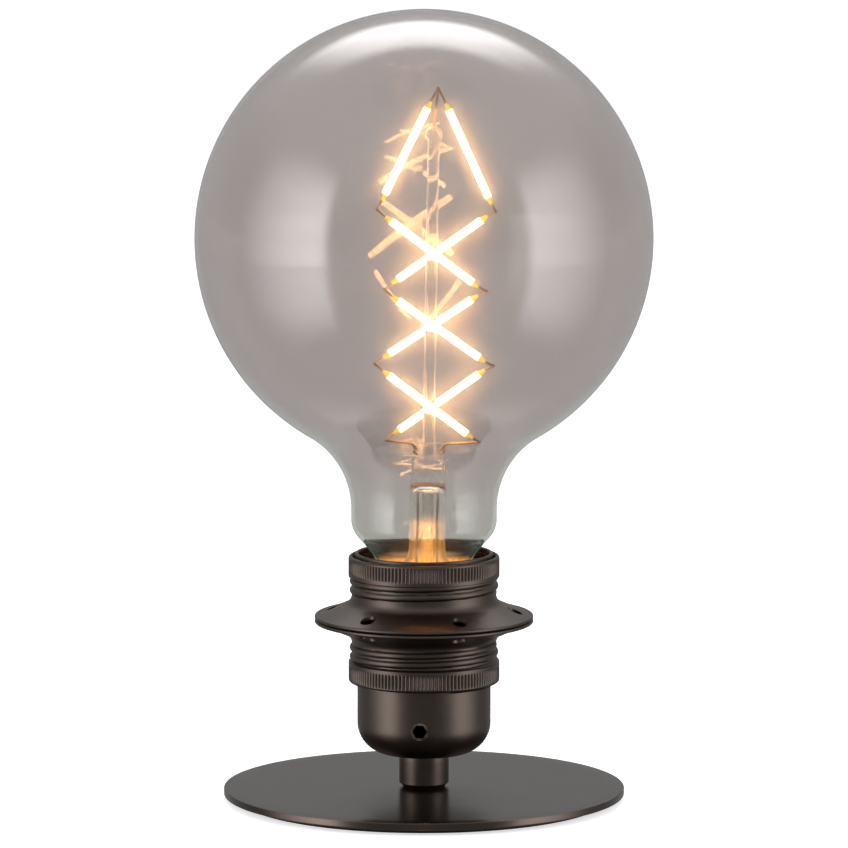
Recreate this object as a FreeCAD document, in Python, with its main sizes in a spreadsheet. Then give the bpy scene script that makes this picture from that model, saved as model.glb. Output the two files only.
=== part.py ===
import FreeCAD, Part
import Sketcher
import math
import os
import re

# A table lamp that is a bare globe bulb in a metal lampholder on a thin round base.
# The origin is the centre of the pad's underside, +Z is up and the lock screw faces -Y.

SIZES = {
    # base: a felt pad, a steel disc, a turned spacer and what fastens them
    "pad_inset": 4.5,
    "pad_thickness": 1.5,
    "pad_hole_radius": 6.5,
    "disc_radius": 55.0,
    "disc_thickness": 2.0,
    "disc_edge_round": 0.3,
    "spacer_radius": 6.8,
    "spacer_height": 9.4,
    "spacer_chamfer": 1.2,
    "spigot_radius": 5.0,
    "spigot_height": 11.8,
    "spigot_chamfer": 0.6,
    "base_screw_radius": 2.5,
    "base_screw_length": 12.0,
    "base_screw_head_radius": 4.8,
    "base_screw_head_height": 1.2,
    "base_screw_flats": 3.0,
    "base_screw_key_depth": 0.8,
    "screw_clearance": 0.1,
    "screw_end_gap": 0.6,
    "washer_radius": 8.0,
    "washer_thickness": 0.8,
    "nut_flats": 14.0,
    "nut_height": 3.0,
    # dome cap of the lampholder, with what goes through its wall
    "dome_radius": 18.3,
    "dome_wall": 1.2,
    "dome_height": 19.3,
    "dome_corner_radius": 8.6,
    "lock_screw_level": 8.8,
    "lock_screw_angle": 266.2,
    "lock_screw_radius": 2.45,
    "lock_screw_recess": 0.25,
    "lock_screw_flats": 3.45,
    "lock_screw_key_depth": 3.2,
    "lock_screw_point": 0.5,
    "lock_boss_width": 7.2,
    "lock_boss_height": 6.0,
    "lock_boss_depth": 3.4,
    "lock_boss_sink": 0.2,
    "cord_bore_radius": 3.25,
    "cord_level": 10.0,
    "bushing_neck_radius": 4.2,
    "bushing_flange_radius": 5.2,
    "bushing_flange_proud": 0.7,
    "bushing_inside": 1.4,
    "earth_boss_offset": 11.3,
    "earth_boss_radius": 2.6,
    "earth_boss_height": 4.0,
    "earth_screw_radius": 1.5,
    "earth_screw_length": 3.2,
    "earth_screw_head_radius": 2.5,
    "earth_screw_head_height": 1.6,
    "earth_washer_thickness": 0.5,
    # threaded skirt
    "skirt_radius": 19.15,
    "skirt_inner_radius": 17.6,
    "skirt_height": 36.3,
    "skirt_spigot_length": 5.0,
    "skirt_spigot_wall": 1.2,
    "skirt_shoulder": 1.2,
    "skirt_fit": 0.06,
    "skirt_relief_radius": 18.4,
    "skirt_relief_height": 1.0,
    "skirt_rim_radius": 18.9,
    "skirt_rim_inner_radius": 17.9,
    "skirt_rim_height": 1.5,
    "skirt_rim_round": 0.4,
    "shade_thread_pitch": 2.5,
    "skirt_groove_width": 1.7,
    "skirt_groove_depth": 0.6,
    "thread_overrun": 0.15,
    "thread_runout": 0.7,
    # shade rings, each with a flange, outer thread beads and a knurled band
    "ring_plane": 18.0,
    "ring_seam": 0.2,
    "ring_fit": 0.2,
    "ring_height": 17.5,
    "ring_neck_radius": 19.8,
    "ring_band_radius": 20.7,
    "ring_band_height": 5.7,
    "ring_band_chamfer": 0.5,
    "ring_band_round": 0.8,
    "ring_lip_drop": 0.8,
    "ring_bead_height": 0.6,
    "ring_bead_width": 1.9,
    "ring_bead_start": 6.7,
    "ring_bead_turns": 2.4,
    "flange_radius": 30.0,
    "flange_rim_round": 0.5,
    "flange_height": 2.5,
    "flange_slope": 0.434,
    "flange_sheet": 0.87,
    "flare_top": 6.8,
    "flare_foot_radius": 21.6,
    "flare_round": 3.1,
    "flare_inner_top": 5.3,
    "flare_inner_foot_radius": 20.9,
    "flare_inner_round": 2.2,
    "flange_hole_radius": 2.05,
    "flange_hole_circle": 25.1,
    "flange_hole_count": 6,
    "flange_hole_angle": 292.6,
    "knurl_count": 120,
    "knurl_height": 3.8,
    "knurl_below_top": 0.8,
    "knurl_depth": 0.28,
    "knurl_width": 0.72,
    # lampholder's inside
    "insulator_radius": 16.9,
    "insulator_foot_radius": 15.6,
    "insulator_foot_height": 5.2,
    "insulator_height": 27.6,
    "insulator_bore_radius": 14.0,
    "insulator_floor": 6.6,
    "well_radius": 9.5,
    "well_depth": 3.4,
    "terminal_offset": 9.4,
    "terminal_pocket": 7.4,
    "terminal_clearance": 0.2,
    "terminal_height": 5.0,
    "terminal_wire_radius": 1.4,
    "terminal_screw_radius": 1.5,
    "terminal_screw_length": 2.4,
    "terminal_screw_head_radius": 2.4,
    "terminal_screw_head_height": 1.2,
    "slot_width": 0.6,
    "slot_depth": 0.6,
    "contact_shell_fit": 0.2,
    "contact_shell_height": 18.3,
    "contact_shell_bore": 12.4,
    "shell_post_radius": 0.7,
    "shell_post_offset": 12.8,
    "tongue_width": 6.0,
    "tongue_thickness": 0.5,
    "tongue_rise": 2.6,
    "tongue_foot_start": 8.9,
    "tongue_hinge": 3.6,
    "tongue_hinge_gap": 0.12,
    "tongue_rise_end": 0.2,
    "tongue_crown_end": 3.0,
    "tongue_end": 4.5,
    "tongue_drop": 0.8,
    "tongue_rivet_offset": 6.9,
    "tongue_rivet_radius": 1.0,
    "tongue_rivet_head_radius": 1.8,
    "tongue_rivet_head_height": 0.7,
    "tip_gap": 0.1,
    # cap of the bulb, measured up from its tip
    "bulb_thread_pitch": 25.4 / 7,
    "bulb_thread_start": 6.35,
    "bulb_thread_turns": 3.2,
    "bulb_thread_width": 2.7,
    "bulb_thread_height": 0.95,
    "bulb_thread_clearance": 0.2,
    "cap_radius": 12.15,
    "cap_wall": 0.35,
    "cap_bottom": 4.1,
    "cap_bottom_radius": 11.2,
    "cap_curl": 1.0,
    "cap_collar_radius": 13.2,
    "cap_collar_bottom": 20.3,
    "cap_collar_slope": 1.0,
    "cap_top": 25.9,
    "tip_radius": 4.6,
    "tip_height": 0.8,
    "tip_round": 0.5,
    "cap_insulator_radius": 5.2,
    "cap_insulator_gap": 0.1,
    "cap_plug_radius": 10.3,
    "cap_plug_height": 1.6,
    "cement_inner_radius": 10.0,
    "cement_height": 0.7,
    "cement_clearance": 0.05,
    "board_radius": 11.2,
    "board_thickness": 1.0,
    "board_level": 11.2,
    "capacitor_radius": 3.15,
    "capacitor_height": 6.0,
    "component_offset": 5.6,
    "rectifier_length": 5.0,
    "rectifier_width": 4.0,
    "rectifier_height": 1.6,
    "cap_lead_radius": 0.35,
    "cap_lead_offset": 10.7,
    "cap_lead_height": 6.0,
    # glass of the bulb, measured up from its tip
    "globe_radius": 62.5,
    "glass_wall": 0.8,
    "neck_radius": 19.95,
    "neck_top": 41.0,
    "neck_fillet": 24.0,
    "shoulder_level": 38.3,
    "shoulder_round": 7.0,
    "shoulder_foot_radius": 14.2,
    "shoulder_foot_level": 29.1,
    "glass_foot_radius": 12.75,
    "glass_foot_level": 26.3,
    "glass_bottom": 22.3,
    # glass mount and filaments, measured up from the glass's lower end
    "mount_offset": 0.7,
    "mount_lean": 0.9,
    "mount_gap": 0.2,
    "stem_radius": 4.95,
    "stem_wall": 1.0,
    "stem_flare_radius": 11.0,
    "stem_flare_foot": 1.0,
    "stem_flare_top": 8.9,
    "stem_flare_round": 8.0,
    "stem_tube_top": 25.4,
    "pinch_width": 9.3,
    "pinch_thickness": 4.4,
    "pinch_bottom": 24.8,
    "pinch_top": 34.9,
    "pinch_round": 1.6,
    "exhaust_radius": 1.7,
    "exhaust_wall": 0.6,
    "exhaust_bottom": -5.6,
    "exhaust_gap": 0.4,
    "stem_lead_radius": 0.35,
    "stem_lead_offset": 2.9,
    "rod_radius": 1.6,
    "rod_top": 121.5,
    "rod_bead_radius": 2.3,
    "wire_radius": 0.4,
    "wire_tip": 1.6,
    "lead_rise": 1.6,
    "lead_spread": 4.6,
    "stick_radius": 0.95,
    "stick_end_gap": 2.6,
    "stick_depth": 2.7,
    "filament_offset": 1.1,
    "apex_rise": 11.1,
    "apex_spread": 0.9,
    "first_corner_level": 100.7,
    "first_corner_spread": 16.0,
    "second_corner_level": 78.8,
    "second_corner_spread": 13.8,
    "third_corner_level": 58.4,
    "third_corner_spread": 16.0,
    "filament_foot_level": 37.2,
    "filament_foot_spread": 12.9,
}

XY = "XY_Plane"
XZ = "XZ_Plane"
Vector = FreeCAD.Vector
ABOUT_Z = Vector(0, 0, 1)
FULL_TURN = 360.0
FRONT_TURN = 270.0
DIAGONAL = "(1 / sqrt(2))"

# Levels and radii that follow from the sizes, as formulas of their names.
DISC_TOP = "(pad_thickness + disc_thickness)"
DOME_FLOOR = f"({DISC_TOP} + spacer_height)"
DOME_INNER = "(dome_radius - dome_wall)"
DOME_TOP = f"({DOME_FLOOR} + dome_height)"
SPIGOT_HOLE = "(spigot_radius + screw_clearance)"
SKIRT_SPIGOT = f"({DOME_INNER} - skirt_fit)"
SKIRT_SPIGOT_BORE = f"({SKIRT_SPIGOT} - skirt_spigot_wall)"
SKIRT_SEAT = f"({DOME_TOP} + skirt_shoulder)"
RING_LEVEL = f"({DOME_TOP} + ring_plane)"
RING_BORE = "(skirt_radius + ring_fit)"
SHELL_SEAT = f"({SKIRT_SEAT} + insulator_floor)"
WELL_FLOOR = f"({SHELL_SEAT} - well_depth)"
BULB_SEAT = f"({WELL_FLOOR} + tongue_rise + tip_gap)"
BOARD_TOP = "(board_level + board_thickness)"

doc = FreeCAD.newDocument("bare_bulb_table_lamp")
sheet = doc.addObject("Spreadsheet::Sheet", "Sizes")
for row, (name, number) in enumerate(SIZES.items(), start=1):
    sheet.set(f"A{row}", repr(number))
    sheet.setAlias(f"A{row}", name)
doc.recompute()

nodes = []


def formula(text):
    """Point each size name in a formula at the sheet."""
    return re.sub(r"\b([a-z]\w*)\b(?!\()", r"Sizes.\1", text)


def value(text):
    """Work a formula of size names out as a plain number."""
    return float(sheet.evalExpression(formula(text)))


def bind(thing, path, text):
    """Let a property follow a formula of size names."""
    thing.setExpression(path, formula(text))


def new_body(label, level=None):
    """Start a sub-part made of sketches and features, its own zero at a level of the lamp."""
    body = doc.addObject("PartDesign::Body", label)
    if level:
        bind(body, ".Placement.Base.z", level)
    nodes.append(body)
    return body


def new_sketch(body, name, role, level=None, turn=None):
    """Attach a sketch to an origin plane of the body, lifted or turned about the body's Z axis."""
    sketch = body.newObject("Sketcher::SketchObject", name)
    plane = next(f for f in body.Origin.OriginFeatures if f.Role == role)
    sketch.AttachmentSupport = [(plane, "")]
    sketch.MapMode = "FlatFace"
    if turn:
        axis = ABOUT_Z if role == XY else Vector(0, 1, 0)
        turned = FreeCAD.Rotation(axis, value(turn))
        sketch.AttachmentOffset = FreeCAD.Placement(Vector(), turned)
    if level:
        bind(sketch, ".AttachmentOffset.Base.z", level)
    return sketch


def hold_point(sketch, edge, end, x, y):
    """Hold an edge's end at the formulas of its coordinates."""
    for kind, text in (("DistanceX", x), ("DistanceY", y)):
        held = Sketcher.Constraint(kind, -1, 1, edge, end, value(text))
        index = sketch.addConstraint(held)
        bind(sketch, f"Constraints[{index}]", text)


def hold_radius(sketch, edge, radius):
    index = sketch.addConstraint(Sketcher.Constraint("Radius", edge, value(radius)))
    bind(sketch, f"Constraints[{index}]", radius)


def arc_between(start, end, radius, side):
    """The short arc from start to end, with its centre to the left (1) or the right (-1)."""
    chord = end - start
    rise = math.sqrt(max(radius**2 - (chord.Length / 2) ** 2, 0))
    left = Vector(-chord.y, chord.x, 0).normalize()
    centre = (start + end) * 0.5 + left * rise * side
    first, last = (start, end) if side > 0 else (end, start)
    begin = math.atan2(first.y - centre.y, first.x - centre.x)
    finish = math.atan2(last.y - centre.y, last.x - centre.x)
    if finish < begin:
        finish += math.tau
    return Part.ArcOfCircle(Part.Circle(centre, ABOUT_Z, radius), begin, finish)


def outline(sketch, points):
    """Draw a closed outline of (x, y), or (x, y, radius, side) where an arc leaves the point."""
    corners = [Vector(value(p[0]), value(p[1]), 0) for p in points]
    backward = [len(p) == 4 and p[3] < 0 for p in points]
    for i, point in enumerate(points):
        start, end = corners[i], corners[(i + 1) % len(points)]
        if len(point) == 2:
            sketch.addGeometry(Part.LineSegment(start, end), False)
        else:
            sketch.addGeometry(arc_between(start, end, value(point[2]), point[3]), False)
    for i, point in enumerate(points):
        after = (i + 1) % len(points)
        near_end = 1 if backward[i] else 2
        far_end = 2 if backward[after] else 1
        sketch.addConstraint(Sketcher.Constraint("Coincident", i, near_end, after, far_end))
        hold_point(sketch, i, 2 if backward[i] else 1, point[0], point[1])
        if len(point) == 4:
            hold_radius(sketch, i, point[2])


def circle(sketch, x, y, radius):
    centre = Vector(value(x), value(y), 0)
    edge = sketch.addGeometry(Part.Circle(centre, ABOUT_Z, value(radius)), False)
    hold_point(sketch, edge, 3, x, y)
    hold_radius(sketch, edge, radius)


def hexagon(sketch, flats):
    """Draw a hexagon about the sketch's zero, with two corners on its X axis."""
    corners = []
    for k in range(6):
        across = math.cos(math.radians(60 * k)) / math.sqrt(3)
        along = math.sin(math.radians(60 * k)) / math.sqrt(3)
        corners.append((f"{flats} * {across:.9f}", f"{flats} * {along:.9f}"))
    outline(sketch, corners)


def rectangle(sketch, left, right, low, high):
    outline(sketch, [(left, low), (right, low), (right, high), (left, high)])


def revolve(body, name, points):
    """Turn a closed outline of (radius, height) points about the body's Z axis."""
    sketch = new_sketch(body, name + "_outline", XZ)
    outline(sketch, points)
    turned = body.newObject("PartDesign::Revolution", name)
    turned.Profile = sketch
    turned.ReferenceAxis = (sketch, ["V_Axis"])
    turned.Angle = FULL_TURN
    return turned


def pad(body, name, sketch, length, midplane=False):
    added = body.newObject("PartDesign::Pad", name)
    added.Profile = sketch
    added.Midplane = midplane
    bind(added, "Length", length)
    return added


def pocket(body, name, sketch, depth, reverse=False):
    """Cut a sketch into the body, and make sure that it takes something away."""
    doc.recompute()
    before = body.Shape.Volume
    cut = body.newObject("PartDesign::Pocket", name)
    cut.Profile = sketch
    cut.Reversed = reverse
    bind(cut, "Length", depth)
    doc.recompute()
    if not cut.Shape.Volume < before - 1e-4:
        raise ValueError(f"{body.Label}: {name} cuts nothing")
    return cut


def polar(body, name, feature, sketch, count):
    """Repeat a feature about the body's Z axis."""
    pattern = body.newObject("PartDesign::PolarPattern", name)
    pattern.Originals = [feature]
    pattern.Axis = (sketch, ["N_Axis"])
    pattern.Angle = FULL_TURN
    bind(pattern, "Occurrences", count)
    body.Tip = pattern
    doc.recompute()
    return pattern


def thread(body, name, kind, chord, level, width, height, pitch, turns):
    """Wind a rounded bead or groove about the body's Z axis.

    chord is the radius of its open side, and height is counted outwards from there.
    """
    sketch = new_sketch(body, name + "_outline", XZ)
    rounding = f"(({width})^2 / (8 * sqrt(({height})^2)) + sqrt(({height})^2) / 2)"
    side = 1 if value(height) > 0 else -1
    low, high = f"{level} - ({width}) / 2", f"{level} + ({width}) / 2"
    outline(sketch, [(chord, low, rounding, side), (chord, high)])
    wound = body.newObject("PartDesign::" + kind, name)
    wound.Profile = sketch
    wound.ReferenceAxis = (sketch, ["V_Axis"])
    wound.Mode = 1
    bind(wound, "Pitch", pitch)
    bind(wound, "Turns", turns)
    doc.recompute()
    return wound


def solid(label, shape, placement):
    """Keep a shape made directly as a sub-part."""
    feature = doc.addObject("Part::Feature", label)
    feature.Shape = shape
    feature.Placement = placement
    nodes.append(feature)


def cylinder(label, radius, height, base):
    """Make a round bar that stands at base, as a sub-part of its own."""
    bar = doc.addObject("Part::Cylinder", label)
    bind(bar, "Radius", radius)
    bind(bar, "Height", height)
    for axis, text in zip("xyz", base):
        bind(bar, ".Placement.Base." + axis, text)
    nodes.append(bar)


def bent_wire(points, radius):
    """A round wire through the points, with ball-shaped bends."""
    pieces = []
    for start, end in zip(points, points[1:]):
        run = end - start
        pieces.append(Part.makeCylinder(radius, run.Length, start, run))
    pieces += [Part.makeSphere(radius, bend) for bend in points[1:-1]]
    return pieces[0].multiFuse(pieces[1:]).removeSplitter() if len(pieces) > 1 else pieces[0]


# ---------------------------------------------------------------- base


def base_pad():
    body = new_body("base_pad")
    sketch = new_sketch(body, "pad_outline", XY)
    circle(sketch, "0", "0", "disc_radius - pad_inset")
    circle(sketch, "0", "0", "pad_hole_radius")
    pad(body, "felt", sketch, "pad_thickness")


def base_disc():
    body = new_body("base_disc", "pad_thickness")
    hole = "(base_screw_radius + screw_clearance)"
    inner = "disc_radius - disc_edge_round"
    revolve(body, "disc", [
        (hole, "0"),
        (inner, "0", "disc_edge_round", 1),
        ("disc_radius", "disc_edge_round"),
        ("disc_radius", "disc_thickness - disc_edge_round", "disc_edge_round", 1),
        (inner, "disc_thickness"),
        (hole, "disc_thickness"),
    ])


def spacer():
    """The turned foot of the lampholder, with a spigot that the dome is clamped on."""
    body = new_body("spacer", DISC_TOP)
    hole = "(base_screw_radius + screw_clearance)"
    depth = "(base_screw_length - disc_thickness + screw_end_gap)"
    top = "(spacer_height + spigot_height)"
    revolve(body, "bar", [
        (hole, "0"),
        ("spacer_radius - spacer_chamfer", "0"),
        ("spacer_radius", "spacer_chamfer"),
        ("spacer_radius", "spacer_height"),
        ("spigot_radius", "spacer_height"),
        ("spigot_radius", f"{top} - spigot_chamfer"),
        ("spigot_radius - spigot_chamfer", top),
        ("0", top),
        ("0", depth),
        (hole, depth),
    ])


def base_screw():
    body = new_body("base_screw", "pad_thickness")
    revolve(body, "screw", [
        ("0", "-base_screw_head_height"),
        ("base_screw_head_radius", "-base_screw_head_height"),
        ("base_screw_head_radius", "0"),
        ("base_screw_radius", "0"),
        ("base_screw_radius", "base_screw_length"),
        ("0", "base_screw_length"),
    ])
    sketch = new_sketch(body, "key_outline", XY, "-base_screw_head_height")
    hexagon(sketch, "base_screw_flats")
    pocket(body, "key", sketch, "base_screw_key_depth", True)


def lock_washer():
    body = new_body("lock_washer", f"{DOME_FLOOR} + dome_wall")
    sketch = new_sketch(body, "washer_outline", XY)
    circle(sketch, "0", "0", "washer_radius")
    circle(sketch, "0", "0", SPIGOT_HOLE)
    pad(body, "washer", sketch, "washer_thickness")


def lock_nut():
    body = new_body("lock_nut", f"{DOME_FLOOR} + dome_wall + washer_thickness")
    sketch = new_sketch(body, "nut_outline", XY)
    hexagon(sketch, "nut_flats")
    circle(sketch, "0", "0", SPIGOT_HOLE)
    pad(body, "nut", sketch, "nut_height")


# ---------------------------------------------------------------- dome


def dome_cap():
    body = new_body("dome_cap", DOME_FLOOR)
    flat = "dome_radius - dome_corner_radius"
    revolve(body, "shell", [
        (SPIGOT_HOLE, "0"),
        (flat, "0", "dome_corner_radius", 1),
        ("dome_radius", "dome_corner_radius"),
        ("dome_radius", "dome_height"),
        (DOME_INNER, "dome_height"),
        (DOME_INNER, "dome_corner_radius", "dome_corner_radius - dome_wall", -1),
        (flat, "dome_wall"),
        (SPIGOT_HOLE, "dome_wall"),
    ])
    boss = new_sketch(body, "lock_boss_outline", XY,
                      "lock_screw_level - lock_boss_height / 2", "lock_screw_angle")
    outer = f"{DOME_INNER} - lock_boss_sink"
    rectangle(boss, f"{outer} - lock_boss_depth", outer,
              "-lock_boss_width / 2", "lock_boss_width / 2")
    pad(body, "lock_boss", boss, "lock_boss_height")
    earth = new_sketch(body, "earth_boss_outline", XY, "dome_wall")
    circle(earth, "earth_boss_offset", "0", "earth_boss_radius")
    pad(body, "earth_boss", earth, "earth_boss_height")
    tapped = new_sketch(body, "earth_hole_outline", XY, "dome_wall + earth_boss_height")
    circle(tapped, "earth_boss_offset", "0", "earth_screw_radius + screw_clearance")
    pocket(body, "earth_hole", tapped, "earth_screw_length")
    screw_hole = new_sketch(body, "lock_hole_outline", XZ,
                            turn=f"lock_screw_angle - {FRONT_TURN}")
    circle(screw_hole, "0", "lock_screw_level", "lock_screw_radius + screw_clearance")
    pocket(body, "lock_hole", screw_hole, "dome_radius + dome_wall", True)
    cord_hole = new_sketch(body, "cord_hole_outline", XZ)
    circle(cord_hole, "0", "cord_level", "bushing_neck_radius + screw_clearance")
    pocket(body, "cord_hole", cord_hole, "dome_radius + dome_wall")


def lock_screw():
    """A socket set screw in the dome's wall, with its point on the spigot."""
    body = new_body("lock_screw")
    start = "(spigot_radius + screw_clearance)"
    length = f"(dome_radius - lock_screw_recess - {start})"
    point = "lock_screw_radius - lock_screw_point"
    revolve(body, "screw", [
        ("0", "0"),
        (point, "0"),
        ("lock_screw_radius", "lock_screw_point"),
        ("lock_screw_radius", length),
        ("0", length),
    ])
    sketch = new_sketch(body, "key_outline", XY, length)
    hexagon(sketch, "lock_screw_flats")
    pocket(body, "key", sketch, "lock_screw_key_depth")
    angle = math.radians(value("lock_screw_angle"))
    outward = Vector(math.cos(angle), math.sin(angle), 0)
    across = Vector(-math.sin(angle), math.cos(angle), 0)
    turned = FreeCAD.Rotation(across, ABOUT_Z, outward, "ZXY")
    base = outward * value(start) + ABOUT_Z * value(f"{DOME_FLOOR} + lock_screw_level")
    body.Placement = FreeCAD.Placement(base, turned)


def cord_bushing():
    """The lined inlet for the cord in the rear of the dome, saddled to the dome's wall."""
    level = f"({DOME_FLOOR} + cord_level)"
    outer = "(dome_radius + bushing_flange_proud)"
    inner = f"({DOME_INNER} - bushing_inside)"
    back = FreeCAD.Rotation(Vector(1, 0, 0), -90)

    def bar(name, radius, start, length):
        piece = doc.addObject("Part::Cylinder", name)
        bind(piece, "Radius", radius)
        bind(piece, "Height", length)
        base = Vector(0, value(start), value(level))
        piece.Placement = FreeCAD.Placement(base, back)
        return piece

    plate = bar("bushing_plate", "bushing_flange_radius", inner, f"{outer} - {inner}")
    wall = doc.addObject("Part::Cylinder", "bushing_saddle")
    bind(wall, "Radius", "dome_radius")
    bind(wall, "Height", "dome_height")
    bind(wall, ".Placement.Base.z", DOME_FLOOR)
    flange = doc.addObject("Part::Cut", "bushing_flange")
    flange.Base, flange.Tool = plate, wall
    neck = bar("bushing_neck", "bushing_neck_radius", inner, f"dome_radius - {inner}")
    joined = doc.addObject("Part::Fuse", "bushing_body")
    joined.Base, joined.Tool = flange, neck
    bore = bar("bushing_bore", "cord_bore_radius", inner, f"{outer} - {inner}")
    bushing = doc.addObject("Part::Cut", "cord_bushing")
    bushing.Base, bushing.Tool = joined, bore
    nodes.append(bushing)


def earth_terminal():
    top = f"({DOME_FLOOR} + dome_wall + earth_boss_height)"
    washer = new_body("earth_washer", top)
    bind(washer, ".Placement.Base.x", "earth_boss_offset")
    sketch = new_sketch(washer, "washer_outline", XY)
    circle(sketch, "0", "0", "earth_boss_radius")
    circle(sketch, "0", "0", "earth_screw_radius + screw_clearance")
    pad(washer, "washer", sketch, "earth_washer_thickness")
    screw = new_body("earth_screw", f"{top} + earth_washer_thickness")
    bind(screw, ".Placement.Base.x", "earth_boss_offset")
    slotted_screw(screw, "earth_screw", "earth_screw_length - screw_end_gap")


def slotted_screw(body, kind, length):
    """A slotted screw that points down, with the seat of its head at the body's zero."""
    head = f"{kind}_head_height"
    revolve(body, "screw", [
        ("0", f"-({length})"),
        (f"{kind}_radius", f"-({length})"),
        (f"{kind}_radius", "0"),
        (f"{kind}_head_radius", "0"),
        (f"{kind}_head_radius", head),
        ("0", head),
    ])
    slot = new_sketch(body, "slot_outline", XY, head)
    rectangle(slot, f"-{kind}_head_radius", f"{kind}_head_radius", "-slot_width / 2", "slot_width / 2")
    pocket(body, "slot", slot, "slot_depth")


# ---------------------------------------------------------------- skirt and shade rings


def threaded_skirt():
    body = new_body("threaded_skirt", DOME_TOP)
    rim_bottom = "(skirt_height - skirt_rim_height)"
    thread_top = f"({rim_bottom} - skirt_relief_height)"
    rounding = "skirt_rim_round"
    revolve(body, "tube", [
        (SKIRT_SPIGOT_BORE, "-skirt_spigot_length"),
        (SKIRT_SPIGOT, "-skirt_spigot_length"),
        (SKIRT_SPIGOT, "0"),
        ("skirt_radius", "0"),
        ("skirt_radius", thread_top),
        ("skirt_relief_radius", thread_top),
        ("skirt_relief_radius", rim_bottom),
        ("skirt_rim_radius", rim_bottom),
        ("skirt_rim_radius", "skirt_height - skirt_rim_round", rounding, 1),
        ("skirt_rim_radius - skirt_rim_round", "skirt_height"),
        ("skirt_rim_inner_radius + skirt_rim_round", "skirt_height", rounding, 1),
        ("skirt_rim_inner_radius", "skirt_height - skirt_rim_round"),
        ("skirt_rim_inner_radius", rim_bottom),
        ("skirt_inner_radius", rim_bottom),
        ("skirt_inner_radius", "skirt_shoulder"),
        (SKIRT_SPIGOT_BORE, "skirt_shoulder"),
    ])
    turns = f"{thread_top} / shade_thread_pitch + 1 + thread_runout"
    thread(body, "shade_thread", "SubtractiveHelix", "skirt_radius + thread_overrun",
           "-shade_thread_pitch", "skirt_groove_width",
           "-(skirt_groove_depth + thread_overrun)", "shade_thread_pitch", turns)


def shade_ring(label, hole_angle, flipped):
    """A ring that screws along the skirt. Its zero is the plane where the two flanges meet."""
    body = new_body(label, RING_LEVEL)
    if flipped:
        body.Placement = FreeCAD.Placement(Vector(), FreeCAD.Rotation(Vector(1, 0, 0), 180))
        bind(body, ".Placement.Base.z", RING_LEVEL)
    seam = "(ring_seam / 2)"
    bead_centre = "(flange_radius - flange_rim_round)"
    dip = f"({bead_centre} - flange_rim_round)"
    band_bottom = "(ring_height - ring_band_height)"

    def cone(radius):
        return f"(flange_height + flange_slope * (flange_hole_circle - {radius}))"

    foot = "(flange_hole_circle + (flange_height - flange_sheet - ring_seam / 2) / flange_slope)"
    revolve(body, "ring", [
        (foot, seam),
        (bead_centre, seam, "flange_rim_round", 1),
        ("flange_radius", f"{seam} + flange_rim_round", "flange_rim_round", 1),
        (bead_centre, f"{seam} + 2 * flange_rim_round"),
        (dip, cone(dip)),
        ("flare_foot_radius", cone("flare_foot_radius"), "flare_round", -1),
        ("ring_neck_radius", "flare_top"),
        ("ring_neck_radius", f"{band_bottom} - ring_band_chamfer"),
        ("ring_band_radius", band_bottom),
        ("ring_band_radius", "ring_height - ring_band_round", "ring_band_round", 1),
        ("ring_band_radius - ring_band_round", "ring_height"),
        (RING_BORE, "ring_height - ring_lip_drop"),
        (RING_BORE, "flare_inner_top", "flare_inner_round", 1),
        ("flare_inner_foot_radius", cone("flare_inner_foot_radius") + " - flange_sheet"),
    ])
    thread(body, "bead", "AdditiveHelix", "ring_neck_radius - thread_overrun", "ring_bead_start",
           "ring_bead_width", "ring_bead_height + thread_overrun", "shade_thread_pitch",
           "ring_bead_turns")
    hole = new_sketch(body, "hole_outline", XY, turn=hole_angle)
    circle(hole, "flange_hole_circle", "0", "flange_hole_radius")
    drilled = pocket(body, "hole", hole, "flare_top", True)
    polar(body, "holes", drilled, hole, "flange_hole_count")
    top = "ring_height - knurl_below_top"
    groove = new_sketch(body, "knurl_outline", XY, top)
    outline(groove, [
        ("ring_band_radius - knurl_depth", "0"),
        ("ring_band_radius + knurl_depth", "-knurl_width"),
        ("ring_band_radius + knurl_depth", "knurl_width"),
    ])
    cut = pocket(body, "knurl", groove, "knurl_height")
    polar(body, "knurls", cut, groove, "knurl_count")


# ---------------------------------------------------------------- inside the lampholder


def holder_insulator():
    body = new_body("holder_insulator", SKIRT_SEAT)
    well = "(insulator_floor - well_depth)"
    revolve(body, "core", [
        ("0", "-insulator_foot_height"),
        ("insulator_foot_radius", "-insulator_foot_height"),
        ("insulator_foot_radius", "0"),
        ("insulator_radius", "0"),
        ("insulator_radius", "insulator_height"),
        ("insulator_bore_radius", "insulator_height"),
        ("insulator_bore_radius", "insulator_floor"),
        ("well_radius", "insulator_floor"),
        ("well_radius", well),
        ("0", well),
    ])
    half = "terminal_pocket / 2"
    for side, sign in (("left", "-"), ("right", "")):
        sketch = new_sketch(body, side + "_pocket_outline", XY, "-insulator_foot_height")
        centre = f"{sign}terminal_offset"
        rectangle(sketch, f"{centre} - {half}", f"{centre} + {half}", f"-{half}", half)
        pocket(body, side + "_pocket", sketch, "insulator_foot_height", True)
    rivet = new_sketch(body, "rivet_hole_outline", XY)
    circle(rivet, "-tongue_rivet_offset", "0", "tongue_rivet_radius")
    pocket(body, "rivet_hole", rivet, well, True)
    post = new_sketch(body, "post_hole_outline", XY)
    circle(post, "shell_post_offset", "0", "shell_post_radius")
    pocket(body, "post_hole", post, "insulator_floor", True)


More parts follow.
